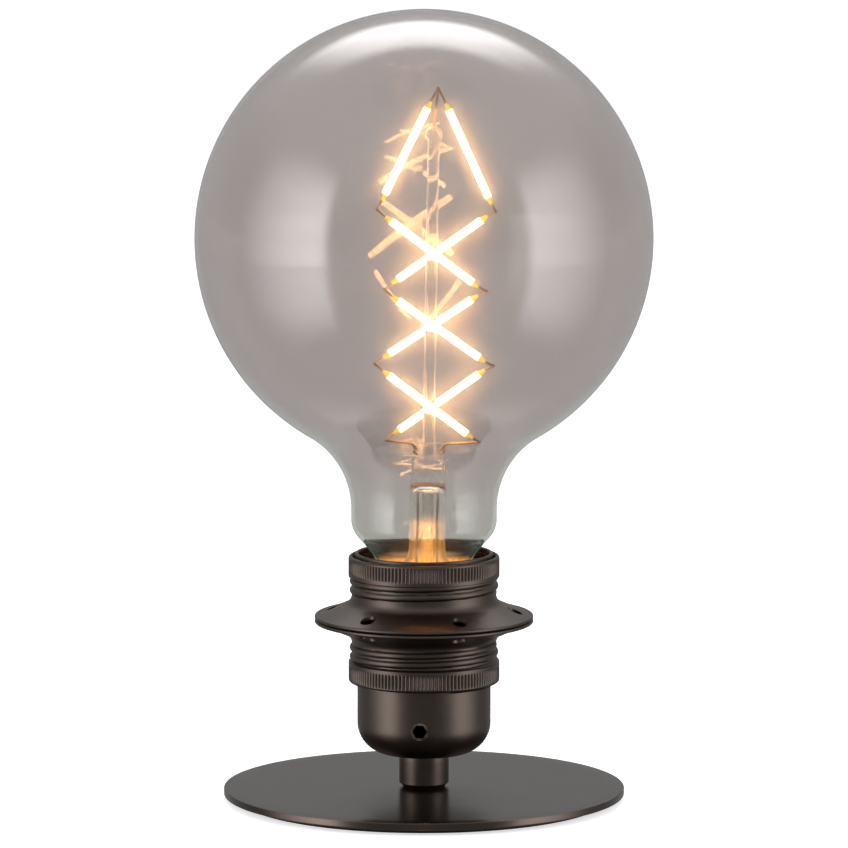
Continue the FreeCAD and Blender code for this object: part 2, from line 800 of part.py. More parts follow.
def terminals():
    """A brass block with a clamp screw in each pocket under the insulator."""
    for side, sign in (("left", "-"), ("right", "")):
        size = "(terminal_pocket - 2 * terminal_clearance)"
        bottom = f"({SKIRT_SEAT} - terminal_height)"
        block = new_body(side + "_terminal", bottom)
        bind(block, ".Placement.Base.x", f"{sign}terminal_offset")
        sketch = new_sketch(block, "block_outline", XY)
        rectangle(sketch, f"-{size} / 2", f"{size} / 2", f"-{size} / 2", f"{size} / 2")
        pad(block, "block", sketch, "terminal_height")
        tapped = new_sketch(block, "tapped_outline", XY)
        circle(tapped, "0", "0", "terminal_screw_radius")
        pocket(block, "tapped_hole", tapped, "terminal_height / 2", True)
        wire = new_sketch(block, "wire_outline", XZ)
        circle(wire, "0", "terminal_height / 2 + terminal_wire_radius / 2", "terminal_wire_radius")
        pocket(block, "front_wire_hole", wire, size, True)
        pocket(block, "rear_wire_hole", wire, size)
        screw = new_body(side + "_terminal_screw")
        slotted_screw(screw, "terminal_screw", "terminal_screw_length")
        upright = FreeCAD.Rotation(Vector(1, 0, 0), 180)
        screw.Placement = FreeCAD.Placement(Vector(), upright)
        bind(screw, ".Placement.Base.x", f"{sign}terminal_offset")
        bind(screw, ".Placement.Base.z", bottom)


def contact_shell():
    """The threaded brass sleeve that the bulb screws into."""
    body = new_body("contact_shell", SHELL_SEAT)
    outer = "(insulator_bore_radius - contact_shell_fit)"
    sketch = new_sketch(body, "sleeve_outline", XY)
    circle(sketch, "0", "0", outer)
    circle(sketch, "0", "0", "contact_shell_bore")
    pad(body, "sleeve", sketch, "contact_shell_height")
    below = "2 * bulb_thread_pitch"
    start = f"({BULB_SEAT} + bulb_thread_start - {below} - {SHELL_SEAT})"
    chord = "(contact_shell_bore - thread_overrun)"
    crest = "(cap_radius + bulb_thread_height + bulb_thread_clearance)"
    turns = f"(contact_shell_height - {start}) / bulb_thread_pitch + thread_runout"
    thread(body, "bulb_thread", "SubtractiveHelix", chord, start,
           "bulb_thread_width + 2 * bulb_thread_clearance", f"{crest} - {chord}",
           "bulb_thread_pitch", turns)


def shell_post():
    height = f"{SHELL_SEAT} - {SKIRT_SEAT}"
    cylinder("shell_post", "shell_post_radius", height, ("shell_post_offset", "0", SKIRT_SEAT))


def contact_tongue():
    """The sprung strip under the bulb's tip, in a fixed foot and a part that dips."""
    foot = new_body("tongue_foot", WELL_FLOOR)
    sketch = new_sketch(foot, "foot_outline", XY)
    rectangle(sketch, "-tongue_foot_start", "-tongue_hinge - tongue_hinge_gap / 2",
              "-tongue_width / 2", "tongue_width / 2")
    circle(sketch, "-tongue_rivet_offset", "0", "tongue_rivet_radius")
    pad(foot, "foot", sketch, "tongue_thickness")
    tongue = new_body("contact_tongue", WELL_FLOOR)
    side = new_sketch(tongue, "tongue_outline", XZ)
    start = "-tongue_hinge + tongue_hinge_gap / 2"
    under = "tongue_rise - tongue_thickness"
    outline(side, [
        (start, "tongue_hinge_gap"),
        ("tongue_rise_end", under),
        ("tongue_crown_end", under),
        ("tongue_end", f"{under} - tongue_drop"),
        ("tongue_end", "tongue_rise - tongue_drop"),
        ("tongue_crown_end", "tongue_rise"),
        ("tongue_rise_end", "tongue_rise"),
        (start, "tongue_hinge_gap + tongue_thickness"),
    ])
    pad(tongue, "tongue", side, "tongue_width", midplane=True)


def tongue_rivet():
    body = new_body("tongue_rivet", f"{WELL_FLOOR} + tongue_thickness")
    bind(body, ".Placement.Base.x", "-tongue_rivet_offset")
    length = f"({WELL_FLOOR} + tongue_thickness - {SKIRT_SEAT})"
    revolve(body, "rivet", [
        ("0", f"-{length}"),
        ("tongue_rivet_radius", f"-{length}"),
        ("tongue_rivet_radius", "0"),
        ("tongue_rivet_head_radius", "0"),
        ("tongue_rivet_head_radius", "tongue_rivet_head_height / 2"),
        ("tongue_rivet_head_radius / 2", "tongue_rivet_head_height"),
        ("0", "tongue_rivet_head_height"),
    ])


# ---------------------------------------------------------------- cap of the bulb


def screw_cap():
    body = new_body("screw_cap", BULB_SEAT)
    slope_top = "(cap_collar_bottom + cap_collar_slope)"
    revolve(body, "shell", [
        ("cap_bottom_radius - cap_wall", "cap_bottom"),
        ("cap_bottom_radius", "cap_bottom"),
        ("cap_radius", "cap_bottom + cap_curl"),
        ("cap_radius", "cap_collar_bottom"),
        ("cap_collar_radius", slope_top),
        ("cap_collar_radius", "cap_top"),
        ("cap_collar_radius - cap_wall", "cap_top"),
        ("cap_collar_radius - cap_wall", f"{slope_top} + cap_wall / 2"),
        ("cap_radius - cap_wall", "cap_collar_bottom + cap_wall / 2"),
        ("cap_radius - cap_wall", "cap_bottom + cap_curl + cap_wall / 2"),
    ])
    thread(body, "bulb_thread", "AdditiveHelix", "cap_radius - thread_overrun",
           "bulb_thread_start", "bulb_thread_width", "bulb_thread_height + thread_overrun",
           "bulb_thread_pitch", "bulb_thread_turns")


def cap_insulator():
    body = new_body("cap_insulator", BULB_SEAT)
    hole = "(cap_lead_radius + screw_clearance)"
    shoulder = "(cap_bottom - cap_insulator_gap)"
    revolve(body, "bead", [
        (hole, "tip_height"),
        ("cap_insulator_radius", "tip_height"),
        ("cap_bottom_radius - cap_wall", shoulder),
        ("cap_plug_radius", shoulder),
        ("cap_plug_radius", "cap_bottom + cap_plug_height"),
        (hole, "cap_bottom + cap_plug_height"),
    ])


def cap_contact():
    body = new_body("cap_contact", BULB_SEAT)
    revolve(body, "button", [
        ("0", "0"),
        ("tip_radius - tip_round", "0", "tip_round", 1),
        ("tip_radius", "tip_round"),
        ("tip_radius", "tip_height"),
        ("0", "tip_height"),
    ])


def cap_cement():
    body = new_body("cap_cement", f"{BULB_SEAT} + glass_bottom - cement_height")
    sketch = new_sketch(body, "cement_outline", XY)
    circle(sketch, "0", "0", "cap_collar_radius - cap_wall - cement_clearance")
    circle(sketch, "0", "0", "cement_inner_radius")
    pad(body, "cement", sketch, "cement_height")


def driver():
    """The small board in the cap that feeds the filaments, with its parts and leads."""
    board = new_body("driver_board", f"{BULB_SEAT} + board_level")
    sketch = new_sketch(board, "board_outline", XY)
    circle(sketch, "0", "0", "board_radius")
    pad(board, "board", sketch, "board_thickness")
    top = f"({BULB_SEAT} + {BOARD_TOP})"
    cylinder("driver_capacitor", "capacitor_radius", "capacitor_height",
             ("0", "component_offset", top))
    rectifier = new_body("driver_rectifier", top)
    bind(rectifier, ".Placement.Base.y", "-component_offset")
    chip = new_sketch(rectifier, "chip_outline", XY)
    rectangle(chip, "-rectifier_length / 2", "rectifier_length / 2",
              "-rectifier_width / 2", "rectifier_width / 2")
    pad(rectifier, "chip", chip, "rectifier_height")
    cylinder("centre_lead", "cap_lead_radius", "board_level - tip_height",
             ("0", "0", f"{BULB_SEAT} + tip_height"))
    cylinder("shell_lead", "cap_lead_radius", "cap_lead_height", ("cap_lead_offset", "0", top))


# ---------------------------------------------------------------- glass and filaments


def bulb_globe():
    """A round globe that runs through a hollow curve into a short neck."""
    body = new_body("bulb_globe", BULB_SEAT)
    across = "(neck_radius + neck_fillet)"
    reach = "(globe_radius + neck_fillet)"
    fall = f"sqrt({reach}^2 - {across}^2)"
    centre = f"(neck_top + {fall})"

    def wall(inset):
        """The points of one side of the glass, from its foot up to the top of the globe."""
        ball = f"(globe_radius - {inset})"
        hollow = f"(neck_fillet + {inset})"
        bend = f"(shoulder_round - {inset})"
        return [
            (f"glass_foot_radius - {inset}", "glass_bottom"),
            (f"glass_foot_radius - {inset}", f"glass_foot_level + {inset} / 2"),
            (f"shoulder_foot_radius - {inset} * {DIAGONAL}",
             f"shoulder_foot_level + {inset} * {DIAGONAL}"),
            (f"neck_radius - shoulder_round + {bend} * {DIAGONAL}",
             f"shoulder_level - {bend} * {DIAGONAL}"),
            (f"neck_radius - {inset}", "shoulder_level"),
            (f"neck_radius - {inset}", "neck_top"),
            (f"{across} * {ball} / {reach}", f"{centre} - {fall} * {ball} / {reach}"),
            ("0", f"{centre} + {ball}"),
        ], bend, hollow, ball

    outer, bend, hollow, ball = wall("0")
    outer[3] += (bend, 1)
    outer[5] += (hollow, -1)
    outer[6] += (ball, 1)
    inner, bend, hollow, ball = wall("glass_wall")
    inner.reverse()
    inner[0] += (ball, -1)
    inner[1] += (hollow, 1)
    inner[3] += (bend, -1)
    revolve(body, "glass", outer + inner)


def mount_frame():
    """The frame of the glass mount, which leans a little in the globe."""
    level = value(f"{BULB_SEAT} + glass_bottom + mount_gap")
    base = Vector(value("mount_offset"), 0, level)
    return FreeCAD.Placement(base, FreeCAD.Rotation(Vector(0, 1, 0), value("mount_lean")))


def bulb_stem():
    body = new_body("bulb_stem")
    bore = "(stem_radius - stem_wall)"
    revolve(body, "flare", [
        ("stem_flare_radius - stem_wall", "0"),
        ("stem_flare_radius", "0"),
        ("stem_flare_radius", "stem_flare_foot", "stem_flare_round", -1),
        ("stem_radius", "stem_flare_top"),
        ("stem_radius", "stem_tube_top"),
        ("0", "stem_tube_top"),
        ("0", "stem_tube_top - stem_wall"),
        (bore, "stem_tube_top - stem_wall"),
        (bore, "stem_flare_top", "stem_flare_round + stem_wall", 1),
    ])
    pinch = new_sketch(body, "pinch_outline", XY, "pinch_bottom")
    wide, deep = "(pinch_width / 2)", "(pinch_thickness / 2)"
    corner_x, corner_y = f"({wide} - pinch_round)", f"({deep} - pinch_round)"
    outline(pinch, [
        (f"-{corner_x}", f"-{deep}"),
        (corner_x, f"-{deep}", "pinch_round", 1),
        (wide, f"-{corner_y}"),
        (wide, corner_y, "pinch_round", 1),
        (corner_x, deep),
        (f"-{corner_x}", deep, "pinch_round", 1),
        (f"-{wide}", corner_y),
        (f"-{wide}", f"-{corner_y}", "pinch_round", 1),
    ])
    pad(body, "pinch", pinch, "pinch_top - pinch_bottom")
    body.Placement = mount_frame()


def exhaust_tube():
    body = new_body("exhaust_tube")
    sketch = new_sketch(body, "tube_outline", XY, "exhaust_bottom")
    circle(sketch, "0", "0", "exhaust_radius")
    circle(sketch, "0", "0", "exhaust_radius - exhaust_wall")
    pad(body, "tube", sketch, "stem_tube_top - stem_wall - exhaust_gap - exhaust_bottom")
    body.Placement = mount_frame()


def support_rod():
    """The glass rod on the pinch, with the bead that holds the top wire."""
    body = new_body("support_rod")
    sketch = new_sketch(body, "rod_outline", XZ)
    under = "(rod_top - sqrt(rod_bead_radius^2 - rod_radius^2))"
    outline(sketch, [
        ("0", "pinch_top"),
        ("rod_radius", "pinch_top"),
        ("rod_radius", under, "rod_bead_radius", 1),
        ("0", "rod_top + rod_bead_radius"),
    ])
    turned = body.newObject("PartDesign::Revolution", "rod")
    turned.Profile = sketch
    turned.ReferenceAxis = (sketch, ["V_Axis"])
    turned.Angle = FULL_TURN
    body.Placement = mount_frame()


def filament_corners():
    """The bends of the two filament strings, as {string: [apex, three corners, foot]}."""
    strings = {}
    for string, start in (("left", -1), ("right", 1)):
        side = start
        points = [Vector(side * value("apex_spread"), 0, value("rod_top + apex_rise"))]
        for row in ("first_corner", "second_corner", "third_corner", "filament_foot"):
            across, up = value(f"{row}_spread"), value(f"{row}_level")
            points.append(Vector(side * across, 0, up))
            side = -side
        for point in points:
            point.x += value("filament_offset")
        strings[string] = points
    return strings


def filament_ends():
    """Where each stick starts and ends: two strings of four, in front of and behind the rod."""
    ends = {}
    for string, points in filament_corners().items():
        depth = value("stick_depth") * (1 if string == "left" else -1)
        ends[string] = []
        for start, end in zip(points, points[1:]):
            run = (end - start).normalize() * value("stick_end_gap")
            out = Vector(0, depth, 0)
            ends[string].append((start + run + out, end - run + out))
            depth = -depth
    return ends


def filaments():
    frame = mount_frame()
    number = 1
    for string in filament_ends().values():
        for start, end in string:
            stick = doc.addObject("Part::Cylinder", f"filament_{number}")
            bind(stick, "Radius", "stick_radius")
            stick.Height = (end - start).Length
            turned = FreeCAD.Rotation(ABOUT_Z, end - start)
            stick.Placement = frame * FreeCAD.Placement(start, turned)
            nodes.append(stick)
            number += 1


def stick_shapes():
    """All the sticks, to trim the wires that are welded to their ends."""
    radius = value("stick_radius")
    return [
        Part.makeCylinder(radius, (end - start).Length, start, end - start)
        for string in filament_ends().values()
        for start, end in string
    ]


def filament_links():
    """The bent wires that join stick to stick at each corner."""
    radius = value("wire_radius")
    corners = filament_corners()
    sticks = stick_shapes()
    links = []
    for string, ends in filament_ends().items():
        bends = corners[string][1:-1]
        for (above, below), bend in zip(zip(ends, ends[1:]), bends):
            links.append(bent_wire([above[1], bend, below[0]], radius).cut(sticks))
    solid("filament_links", Part.makeCompound(links), mount_frame())


def top_wire():
    """The wire from the rod's bead to the tops of the two strings."""
    ends = filament_ends()
    radius = value("wire_radius")
    peak = Vector(value("filament_offset"), 0, value("rod_top + apex_rise + wire_tip"))
    bead = Vector(0, 0, value("rod_top"))
    branches = [bent_wire([ends[string][0][0], peak], radius) for string in ends]
    post = bent_wire([bead, peak], radius)
    joined = post.multiFuse(branches + [Part.makeSphere(radius, peak)]).removeSplitter()
    trimmed = joined.cut(stick_shapes() + [Part.makeSphere(value("rod_bead_radius"), bead)])
    solid("top_wire", trimmed, mount_frame())


def lead_wires():
    """The wires that rise from the pinch to the lower ends of the strings."""
    radius = value("wire_radius")
    corners = filament_corners()
    top = value("pinch_top")
    pinch_end = Part.makeCylinder(value("pinch_width"), radius, Vector(0, 0, top - radius))
    for string, sticks in filament_ends().items():
        foot = corners[string][-1]
        side = 1 if foot.x > 0 else -1
        root = Vector(side * value("stem_lead_offset"), 0, top)
        rise = Vector(side * value("lead_spread"), 0, top + value("lead_rise"))
        wire = bent_wire([root, rise, foot, sticks[-1][1]], radius)
        trimmed = wire.cut(stick_shapes() + [pinch_end])
        solid("right_lead_wire" if side > 0 else "left_lead_wire", trimmed, mount_frame())


def stem_leads():
    """The two wires inside the stem, from the board up to the pinch."""
    bottom = value(f"{BOARD_TOP} - glass_bottom + cement_clearance")
    top = value("stem_tube_top - stem_wall")
    radius = value("stem_lead_radius")
    offset = value("stem_lead_offset")
    wires = [
        Part.makeCylinder(radius, top - bottom, Vector(side * offset, 0, bottom))
        for side in (-1, 1)
    ]
    solid("stem_leads", Part.makeCompound(wires), mount_frame())


for make in (
    base_pad, base_disc, spacer, base_screw, lock_washer, lock_nut,
    dome_cap, lock_screw, cord_bushing, earth_terminal,
    threaded_skirt,
):
    make()
shade_ring("upper_shade_ring", "flange_hole_angle", flipped=False)
shade_ring("lower_shade_ring", "-flange_hole_angle", flipped=True)
for make in (
    holder_insulator, terminals, contact_shell, shell_post, contact_tongue, tongue_rivet,
    screw_cap, cap_insulator, cap_contact, cap_cement, driver,
    bulb_globe, bulb_stem, exhaust_tube, support_rod,
    filaments, filament_links, top_wire, lead_wires, stem_leads,
):
    make()
doc.recompute()

for thing in doc.Objects:
    if "Invalid" in thing.State or "Error" in thing.State:
        raise ValueError(f"{thing.Label} failed: {thing.State}")
for node in nodes:
    if node.Shape.isNull() or not node.Shape.isValid():
        raise ValueError(f"{node.Label} has no valid shape")

os.makedirs("parts", exist_ok=True)
for node in nodes:
    node.Shape.exportStep(os.path.join("parts", node.Label + ".step"))
    print(f"{node.Label:20s} {len(node.Shape.Solids)} solids  {node.Shape.Volume:10.1f} mm3")
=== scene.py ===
import math

import bmesh
import bpy
from bpy.props import FloatProperty, FloatVectorProperty, IntProperty, PointerProperty
from bpy.types import Operator, Panel, PropertyGroup
from mathutils import Matrix, Vector


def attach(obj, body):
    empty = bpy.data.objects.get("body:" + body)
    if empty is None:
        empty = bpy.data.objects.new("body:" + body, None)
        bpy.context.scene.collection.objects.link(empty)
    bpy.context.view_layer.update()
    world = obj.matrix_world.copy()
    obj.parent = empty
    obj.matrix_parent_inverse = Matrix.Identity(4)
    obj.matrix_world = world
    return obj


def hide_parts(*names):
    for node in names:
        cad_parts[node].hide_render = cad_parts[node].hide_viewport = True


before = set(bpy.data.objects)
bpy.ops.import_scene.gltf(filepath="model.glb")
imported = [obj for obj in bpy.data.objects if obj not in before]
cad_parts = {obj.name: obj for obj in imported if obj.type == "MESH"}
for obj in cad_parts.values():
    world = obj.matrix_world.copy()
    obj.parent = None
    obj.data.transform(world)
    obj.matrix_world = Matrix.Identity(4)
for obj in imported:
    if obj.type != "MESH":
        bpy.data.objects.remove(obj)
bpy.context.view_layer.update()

bl_info = {
    "name": "Bare Bulb Table Lamp",
    "version": (1, 0, 0),
    "blender": (4, 5, 0),
    "location": "3D View > Sidebar > Lamp",
    "description": "Dresses the packed frame of a bare bulb table lamp",
    "category": "Object",
}

MM = 0.001
MERGE = 1e-6  # vertices closer than this become one
NEAR = 1e-5  # how far a vertex of a turned face may lie from its radius


# ---------------------------------------------------------------- sizes and colours


def length(name, description, default):
    """A length in metres that a user may change."""
    return FloatProperty(name=name, description=description, default=default, min=0.0,
                         precision=5, unit="LENGTH", subtype="DISTANCE")


def colour(name, description, default):
    return FloatVectorProperty(name=name, description=description, default=default, size=3,
                               min=0.0, max=1.0, subtype="COLOR")


def number(name, description, default):
    return FloatProperty(name=name, description=description, default=default, min=0.0)


class BaseSizes(PropertyGroup):
    disc_radius: length("Disc radius", "Half the width of the base", 0.055)
    disc_bottom: length("Disc underside", "Height of the disc above the floor", 0.0015)
    disc_top: length("Disc top", "Height of the disc's upper face", 0.0035)
    edge_round: length("Edge rounding", "Radius of the disc's edges", 0.0003)
    spacer_radius: length("Spacer radius", "Half the width of the turned foot", 0.0068)
    spacer_top: length("Spacer top", "Height where the dome rests", 0.0129)
    spacer_chamfer: length("Spacer chamfer", "Chamfer round the foot", 0.0012)
    spigot_radius: length("Spigot radius", "Half the width of the spigot in the dome", 0.005)
    spigot_top: length("Spigot top", "Height of the spigot's end", 0.0247)


class HolderSizes(PropertyGroup):
    dome_radius: length("Dome radius", "Outer radius of the dome", 0.0183)
    dome_top: length("Dome top", "Height of the dome's upper edge", 0.0322)
    dome_corner: length("Dome corner", "Radius of the dome's round bottom", 0.0086)
    dome_wall: length("Dome wall", "Thickness of the dome's sheet", 0.0012)
    skirt_radius: length("Skirt radius", "Outer radius of the threaded skirt", 0.01915)
    skirt_top: length("Skirt top", "Height of the rolled rim", 0.0685)
    ring_plane: length("Ring plane", "Height where the two flanges meet", 0.0502)
    ring_height: length("Ring height", "Height of one shade ring", 0.0175)
    band_radius: length("Band radius", "Outer radius of the knurled band", 0.0207)
    flange_radius: length("Flange radius", "Outer radius of the flange", 0.030)
    thread_pitch: length("Thread pitch", "Rise of the shade thread in one turn", 0.0025)
    bead_height: length("Bead height", "How far the thread beads stand out", 0.0006)
    knurl_depth: length("Knurl depth", "Depth of the grooves in the band", 0.00028)
    knurl_count: IntProperty(name="Knurls", description="Grooves round one band", default=120,
                             min=3)


class BulbSizes(PropertyGroup):
    globe_radius: length("Globe radius", "Outer radius of the glass globe", 0.0625)
    glass_wall: length("Glass wall", "Thickness of the globe's glass", 0.0008)
    neck_radius: length("Neck radius", "Outer radius of the neck", 0.01995)
    neck_fillet: length("Neck fillet", "Radius of the hollow curve over the neck", 0.024)
    rod_radius: length("Rod radius", "Radius of the glass rod", 0.0016)
    stick_radius: length("Filament radius", "Radius of one filament", 0.00095)
    wire_radius: length("Wire radius", "Radius of the nickel wires", 0.0004)


class Finishes(PropertyGroup):
    bronze: colour("Bronze", "Colour of the plated metal", (0.074, 0.058, 0.05))
    glass_tint: colour("Glass tint", "Colour of the smoked glass", (0.595, 0.56, 0.547))
    haze: number("Haze", "Share of the glass that spreads the glow of the filaments", 0.09)
    glow: colour("Glow", "Colour of the lit filaments", (1.0, 0.54, 0.2))
    glow_strength: number("Glow strength", "Brightness of the lit filaments", 36.0)


class StageSettings(PropertyGroup):
    distance: length("Camera distance", "From the camera to its target", 2.0)
    target: length("Target height", "Height that the camera looks at", 0.1039)
    pitch: FloatProperty(name="Camera pitch", description="How far the camera looks down",
                         default=math.radians(7.8), subtype="ANGLE")
    lens: number("Lens", "Focal length in millimetres", 310.8)
    left_light: number("Left light", "Power of the left softbox in watts", 17.0)
    right_light: number("Right light", "Power of the right softbox in watts", 14.0)
    top_light: number("Top light", "Power of the top softbox in watts", 9.0)
    floor: colour("Floor", "Colour of the floor", (0.8, 0.8, 0.8))


# ---------------------------------------------------------------- modelling helpers


class Outline:
    """A wire in the XZ plane that is drawn run by run, as a lathe tool would go."""

    def __init__(self, radius, height):
        self.wire = bmesh.new()
        self.first = self.tip = self.wire.verts.new((radius, 0, height))

    def to(self, radius, height, runs=1):
        """Go straight to a point, in a number of equal runs."""
        start, end = self.tip.co.copy(), Vector((radius, 0, height))
        for run in range(1, runs + 1):
            made = bmesh.ops.extrude_vert_indiv(self.wire, verts=[self.tip])
            self.tip = made["verts"][0]
            self.tip.co = start.lerp(end, run / runs)
        return self

    def bend(self, radius, height, bend_radius, side, runs):
        """Go to a point on an arc, with its centre to the left (1) or the right (-1)."""
        start = Vector((self.tip.co.x, self.tip.co.z))
        end = Vector((radius, height))
        chord = end - start
        half = min(chord.length / 2, bend_radius)
        left = Vector((-chord.y, chord.x)).normalized()
        centre = (start + end) / 2 + left * side * math.sqrt(bend_radius**2 - half**2)
        made = bmesh.ops.spin(
            self.wire, geom=[self.tip], cent=(centre.x, 0, centre.y), axis=(0, -1, 0),
            angle=2 * math.asin(half / bend_radius) * side, steps=runs, use_duplicate=False)
        self.tip = next(e for e in made["geom_last"] if isinstance(e, bmesh.types.BMVert))
        return self

    def turned(self, steps, closed=True, sectors=1):
        """Turn the wire once about the Z axis into a closed mesh.

        A fine mesh is spun over one sector only, which is then copied round.
        """
        mesh = self.wire
        if closed:
            mesh.edges.new((self.tip, self.first))
        bmesh.ops.spin(mesh, geom=mesh.verts[:] + mesh.edges[:], cent=(0, 0, 0),
                       axis=(0, 0, 1), angle=math.tau / sectors, steps=steps // sectors,
                       use_merge=sectors == 1, use_duplicate=False)
        sector = mesh.verts[:] + mesh.edges[:] + mesh.faces[:]
        for count in range(1, sectors):
            made = bmesh.ops.duplicate(mesh, geom=sector)["geom"]
            verts = [item for item in made if isinstance(item, bmesh.types.BMVert)]
            turn = Matrix.Rotation(math.tau * count / sectors, 4, "Z")
            bmesh.ops.transform(mesh, matrix=turn, verts=verts)
        bmesh.ops.remove_doubles(mesh, verts=mesh.verts[:], dist=MERGE)
        bmesh.ops.recalc_face_normals(mesh, faces=mesh.faces[:])
        return mesh


def new_piece(name, mesh, crease=35):
    """Turn a bmesh into an object with smooth faces and creases over an angle."""
    data = bpy.data.meshes.new(name)
    mesh.to_mesh(data)
    mesh.free()
    data.shade_smooth()
    data.set_sharp_from_angle(angle=math.radians(crease))
    made = bpy.data.objects.new(name, data)
    bpy.context.scene.collection.objects.link(made)
    return made


def finish(made, body, slot, nodes, *materials):
    """Give a piece its finish and its body, and hide the nodes that it stands for."""
    for material in materials:
        made.data.materials.append(material)
    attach(made, body)
    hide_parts(*nodes)


def bored(made, cutters, crease=35):
    """Cut other pieces out of a piece and throw them away."""
    for cutter in cutters:
        cut = made.modifiers.new("cut", "BOOLEAN")
        cut.object = cutter
        cut.operation = "DIFFERENCE"
        cut.solver = "MANIFOLD"
    depsgraph = bpy.context.evaluated_depsgraph_get()
    data = bpy.data.meshes.new_from_object(made.evaluated_get(depsgraph))
    made.modifiers.clear()
    made.data = data
    data.materials.clear()
    data.polygons.foreach_set("material_index", [0] * len(data.polygons))
    data.shade_smooth()
    data.set_sharp_from_angle(angle=math.radians(crease))
    for cutter in cutters:
        bpy.data.objects.remove(cutter)


def raised(height):
    return Matrix.Translation((0, 0, height))


def rotated(axis, degrees):
    return Matrix.Rotation(math.radians(degrees), 4, axis)


def punch(name, placements, radius, low, high, sides):
    """Round bars along Z between two heights, one at each placement."""
    mesh = bmesh.new()
    for placement in placements:
        bmesh.ops.create_cone(
            mesh, cap_ends=True, segments=sides, radius1=radius, radius2=radius,
            depth=high - low, matrix=placement @ raised((low + high) / 2))
    return new_piece(name, mesh)


def smooth_step(value):
    value = min(max(value, 0.0), 1.0)
    return value * value * (3 - 2 * value)


# ---------------------------------------------------------------- materials


def group(name, inputs, outputs):
    """Start a shader group with its sockets: {name: default} in, names and kinds out."""
    tree = bpy.data.node_groups.new(name, "ShaderNodeTree")
    for label, default in inputs.items():
        socket = tree.interface.new_socket(label, in_out="INPUT", socket_type="NodeSocketFloat")
        socket.default_value = default
    for label in outputs:
        tree.interface.new_socket(label, in_out="OUTPUT", socket_type="NodeSocketFloat")
    return tree, tree.nodes.new("NodeGroupInput"), tree.nodes.new("NodeGroupOutput")


def node(tree, kind, links=None, **settings):
    """Add a node; links maps its inputs to sockets or numbers."""
    made = tree.nodes.new(kind)
    for key, setting in settings.items():
        setattr(made, key, setting)
    for key, source in (links or {}).items():
        if isinstance(source, bpy.types.NodeSocket):
            tree.links.new(source, made.inputs[key])
        else:
            made.inputs[key].default_value = source
    return made


def ramp(tree, factor, stops):
    """Colours along a factor, as (place, colour)."""
    made = node(tree, "ShaderNodeValToRGB", {"Fac": factor})
    elements = made.color_ramp.elements
    while len(elements) < len(stops):
        elements.new(0.5)
    for element, (place, shade) in zip(elements, stops):
        element.position = place
        element.color = (*shade, 1.0)
    return made.outputs["Color"]


def graded(tree, value, start, full, low=0.0, high=1.0, soft=False):
    """Take a value from low to high, between where it starts and where it is full."""
    made = node(tree, "ShaderNodeMapRange", {
        "Value": value, "From Min": start, "From Max": full, "To Min": low, "To Max": high},
        interpolation_type="SMOOTHSTEP" if soft else "LINEAR")
    return made.outputs["Result"]


def times(tree, first, second):
    return node(tree, "ShaderNodeMath", {0: first, 1: second}, operation="MULTIPLY").outputs[0]


def over(tree, factor, below, above):
    """Lay one colour over another by a factor."""
    made = node(tree, "ShaderNodeMix", {0: factor, 6: below, 7: (*above, 1.0)},
                data_type="RGBA")
    return made.outputs[2]


def picked(tree, factor, first, second):
    """One of two values, by a factor of 0 or 1."""
    return node(tree, "ShaderNodeMix", {0: factor, 2: first, 3: second}).outputs[0]


def object_place(tree):
    return node(tree, "ShaderNodeTexCoord").outputs["Object"]


def along(tree, place, axis):
    """One coordinate of a place."""
    return node(tree, "ShaderNodeSeparateXYZ", {"Vector": place}).outputs[axis]


def grain_group():
    """Mottling and fine texture in object space."""
    tree, inputs, outputs = group("fine_grain", {"Scale": 60.0}, ("Mottle", "Height"))
    place, scale = object_place(tree), inputs.outputs["Scale"]
    wide = node(tree, "ShaderNodeTexNoise", {
        "Vector": place, "Scale": scale, "Detail": 5.0, "Roughness": 0.6})
    fine = node(tree, "ShaderNodeTexNoise", {
        "Vector": place, "Scale": times(tree, scale, 24.0), "Detail": 3.0})
    tree.links.new(graded(tree, wide.outputs["Fac"], 0.3, 0.7), outputs.inputs["Mottle"])
    tree.links.new(fine.outputs["Fac"], outputs.inputs["Height"])
    return tree


def wear_group():
    """A mask of the edges where a finish is rubbed thin."""
    tree, inputs, outputs = group("edge_wear", {"Scale": 400.0, "Amount": 0.5}, ("Wear",))
    sharp = node(tree, "ShaderNodeNewGeometry").outputs["Pointiness"]
    patchy = node(tree, "ShaderNodeTexNoise", {
        "Vector": object_place(tree), "Scale": inputs.outputs["Scale"], "Detail": 4.0})
    rubbed = times(tree, graded(tree, sharp, 0.53, 0.62),
                   graded(tree, patchy.outputs["Fac"], 0.35, 0.65))
    wear = node(tree, "ShaderNodeMath", {0: rubbed, 1: inputs.outputs["Amount"]},
                operation="MULTIPLY", use_clamp=True)
    tree.links.new(wear.outputs[0], outputs.inputs["Wear"])
    return tree


def shared(tree, name, make, **values):
    """Place a shader group in a material, made the first time it is asked for."""
    tree_of_group = bpy.data.node_groups.get(name) or make()
    return node(tree, "ShaderNodeGroup", values, node_tree=tree_of_group)


def grain(tree, scale):
    return shared(tree, "fine_grain", grain_group, Scale=scale)


def blank(name):
    material = bpy.data.materials.new(name)
    material.use_nodes = True
    tree = material.node_tree
    return material, tree, tree.nodes["Principled BSDF"]


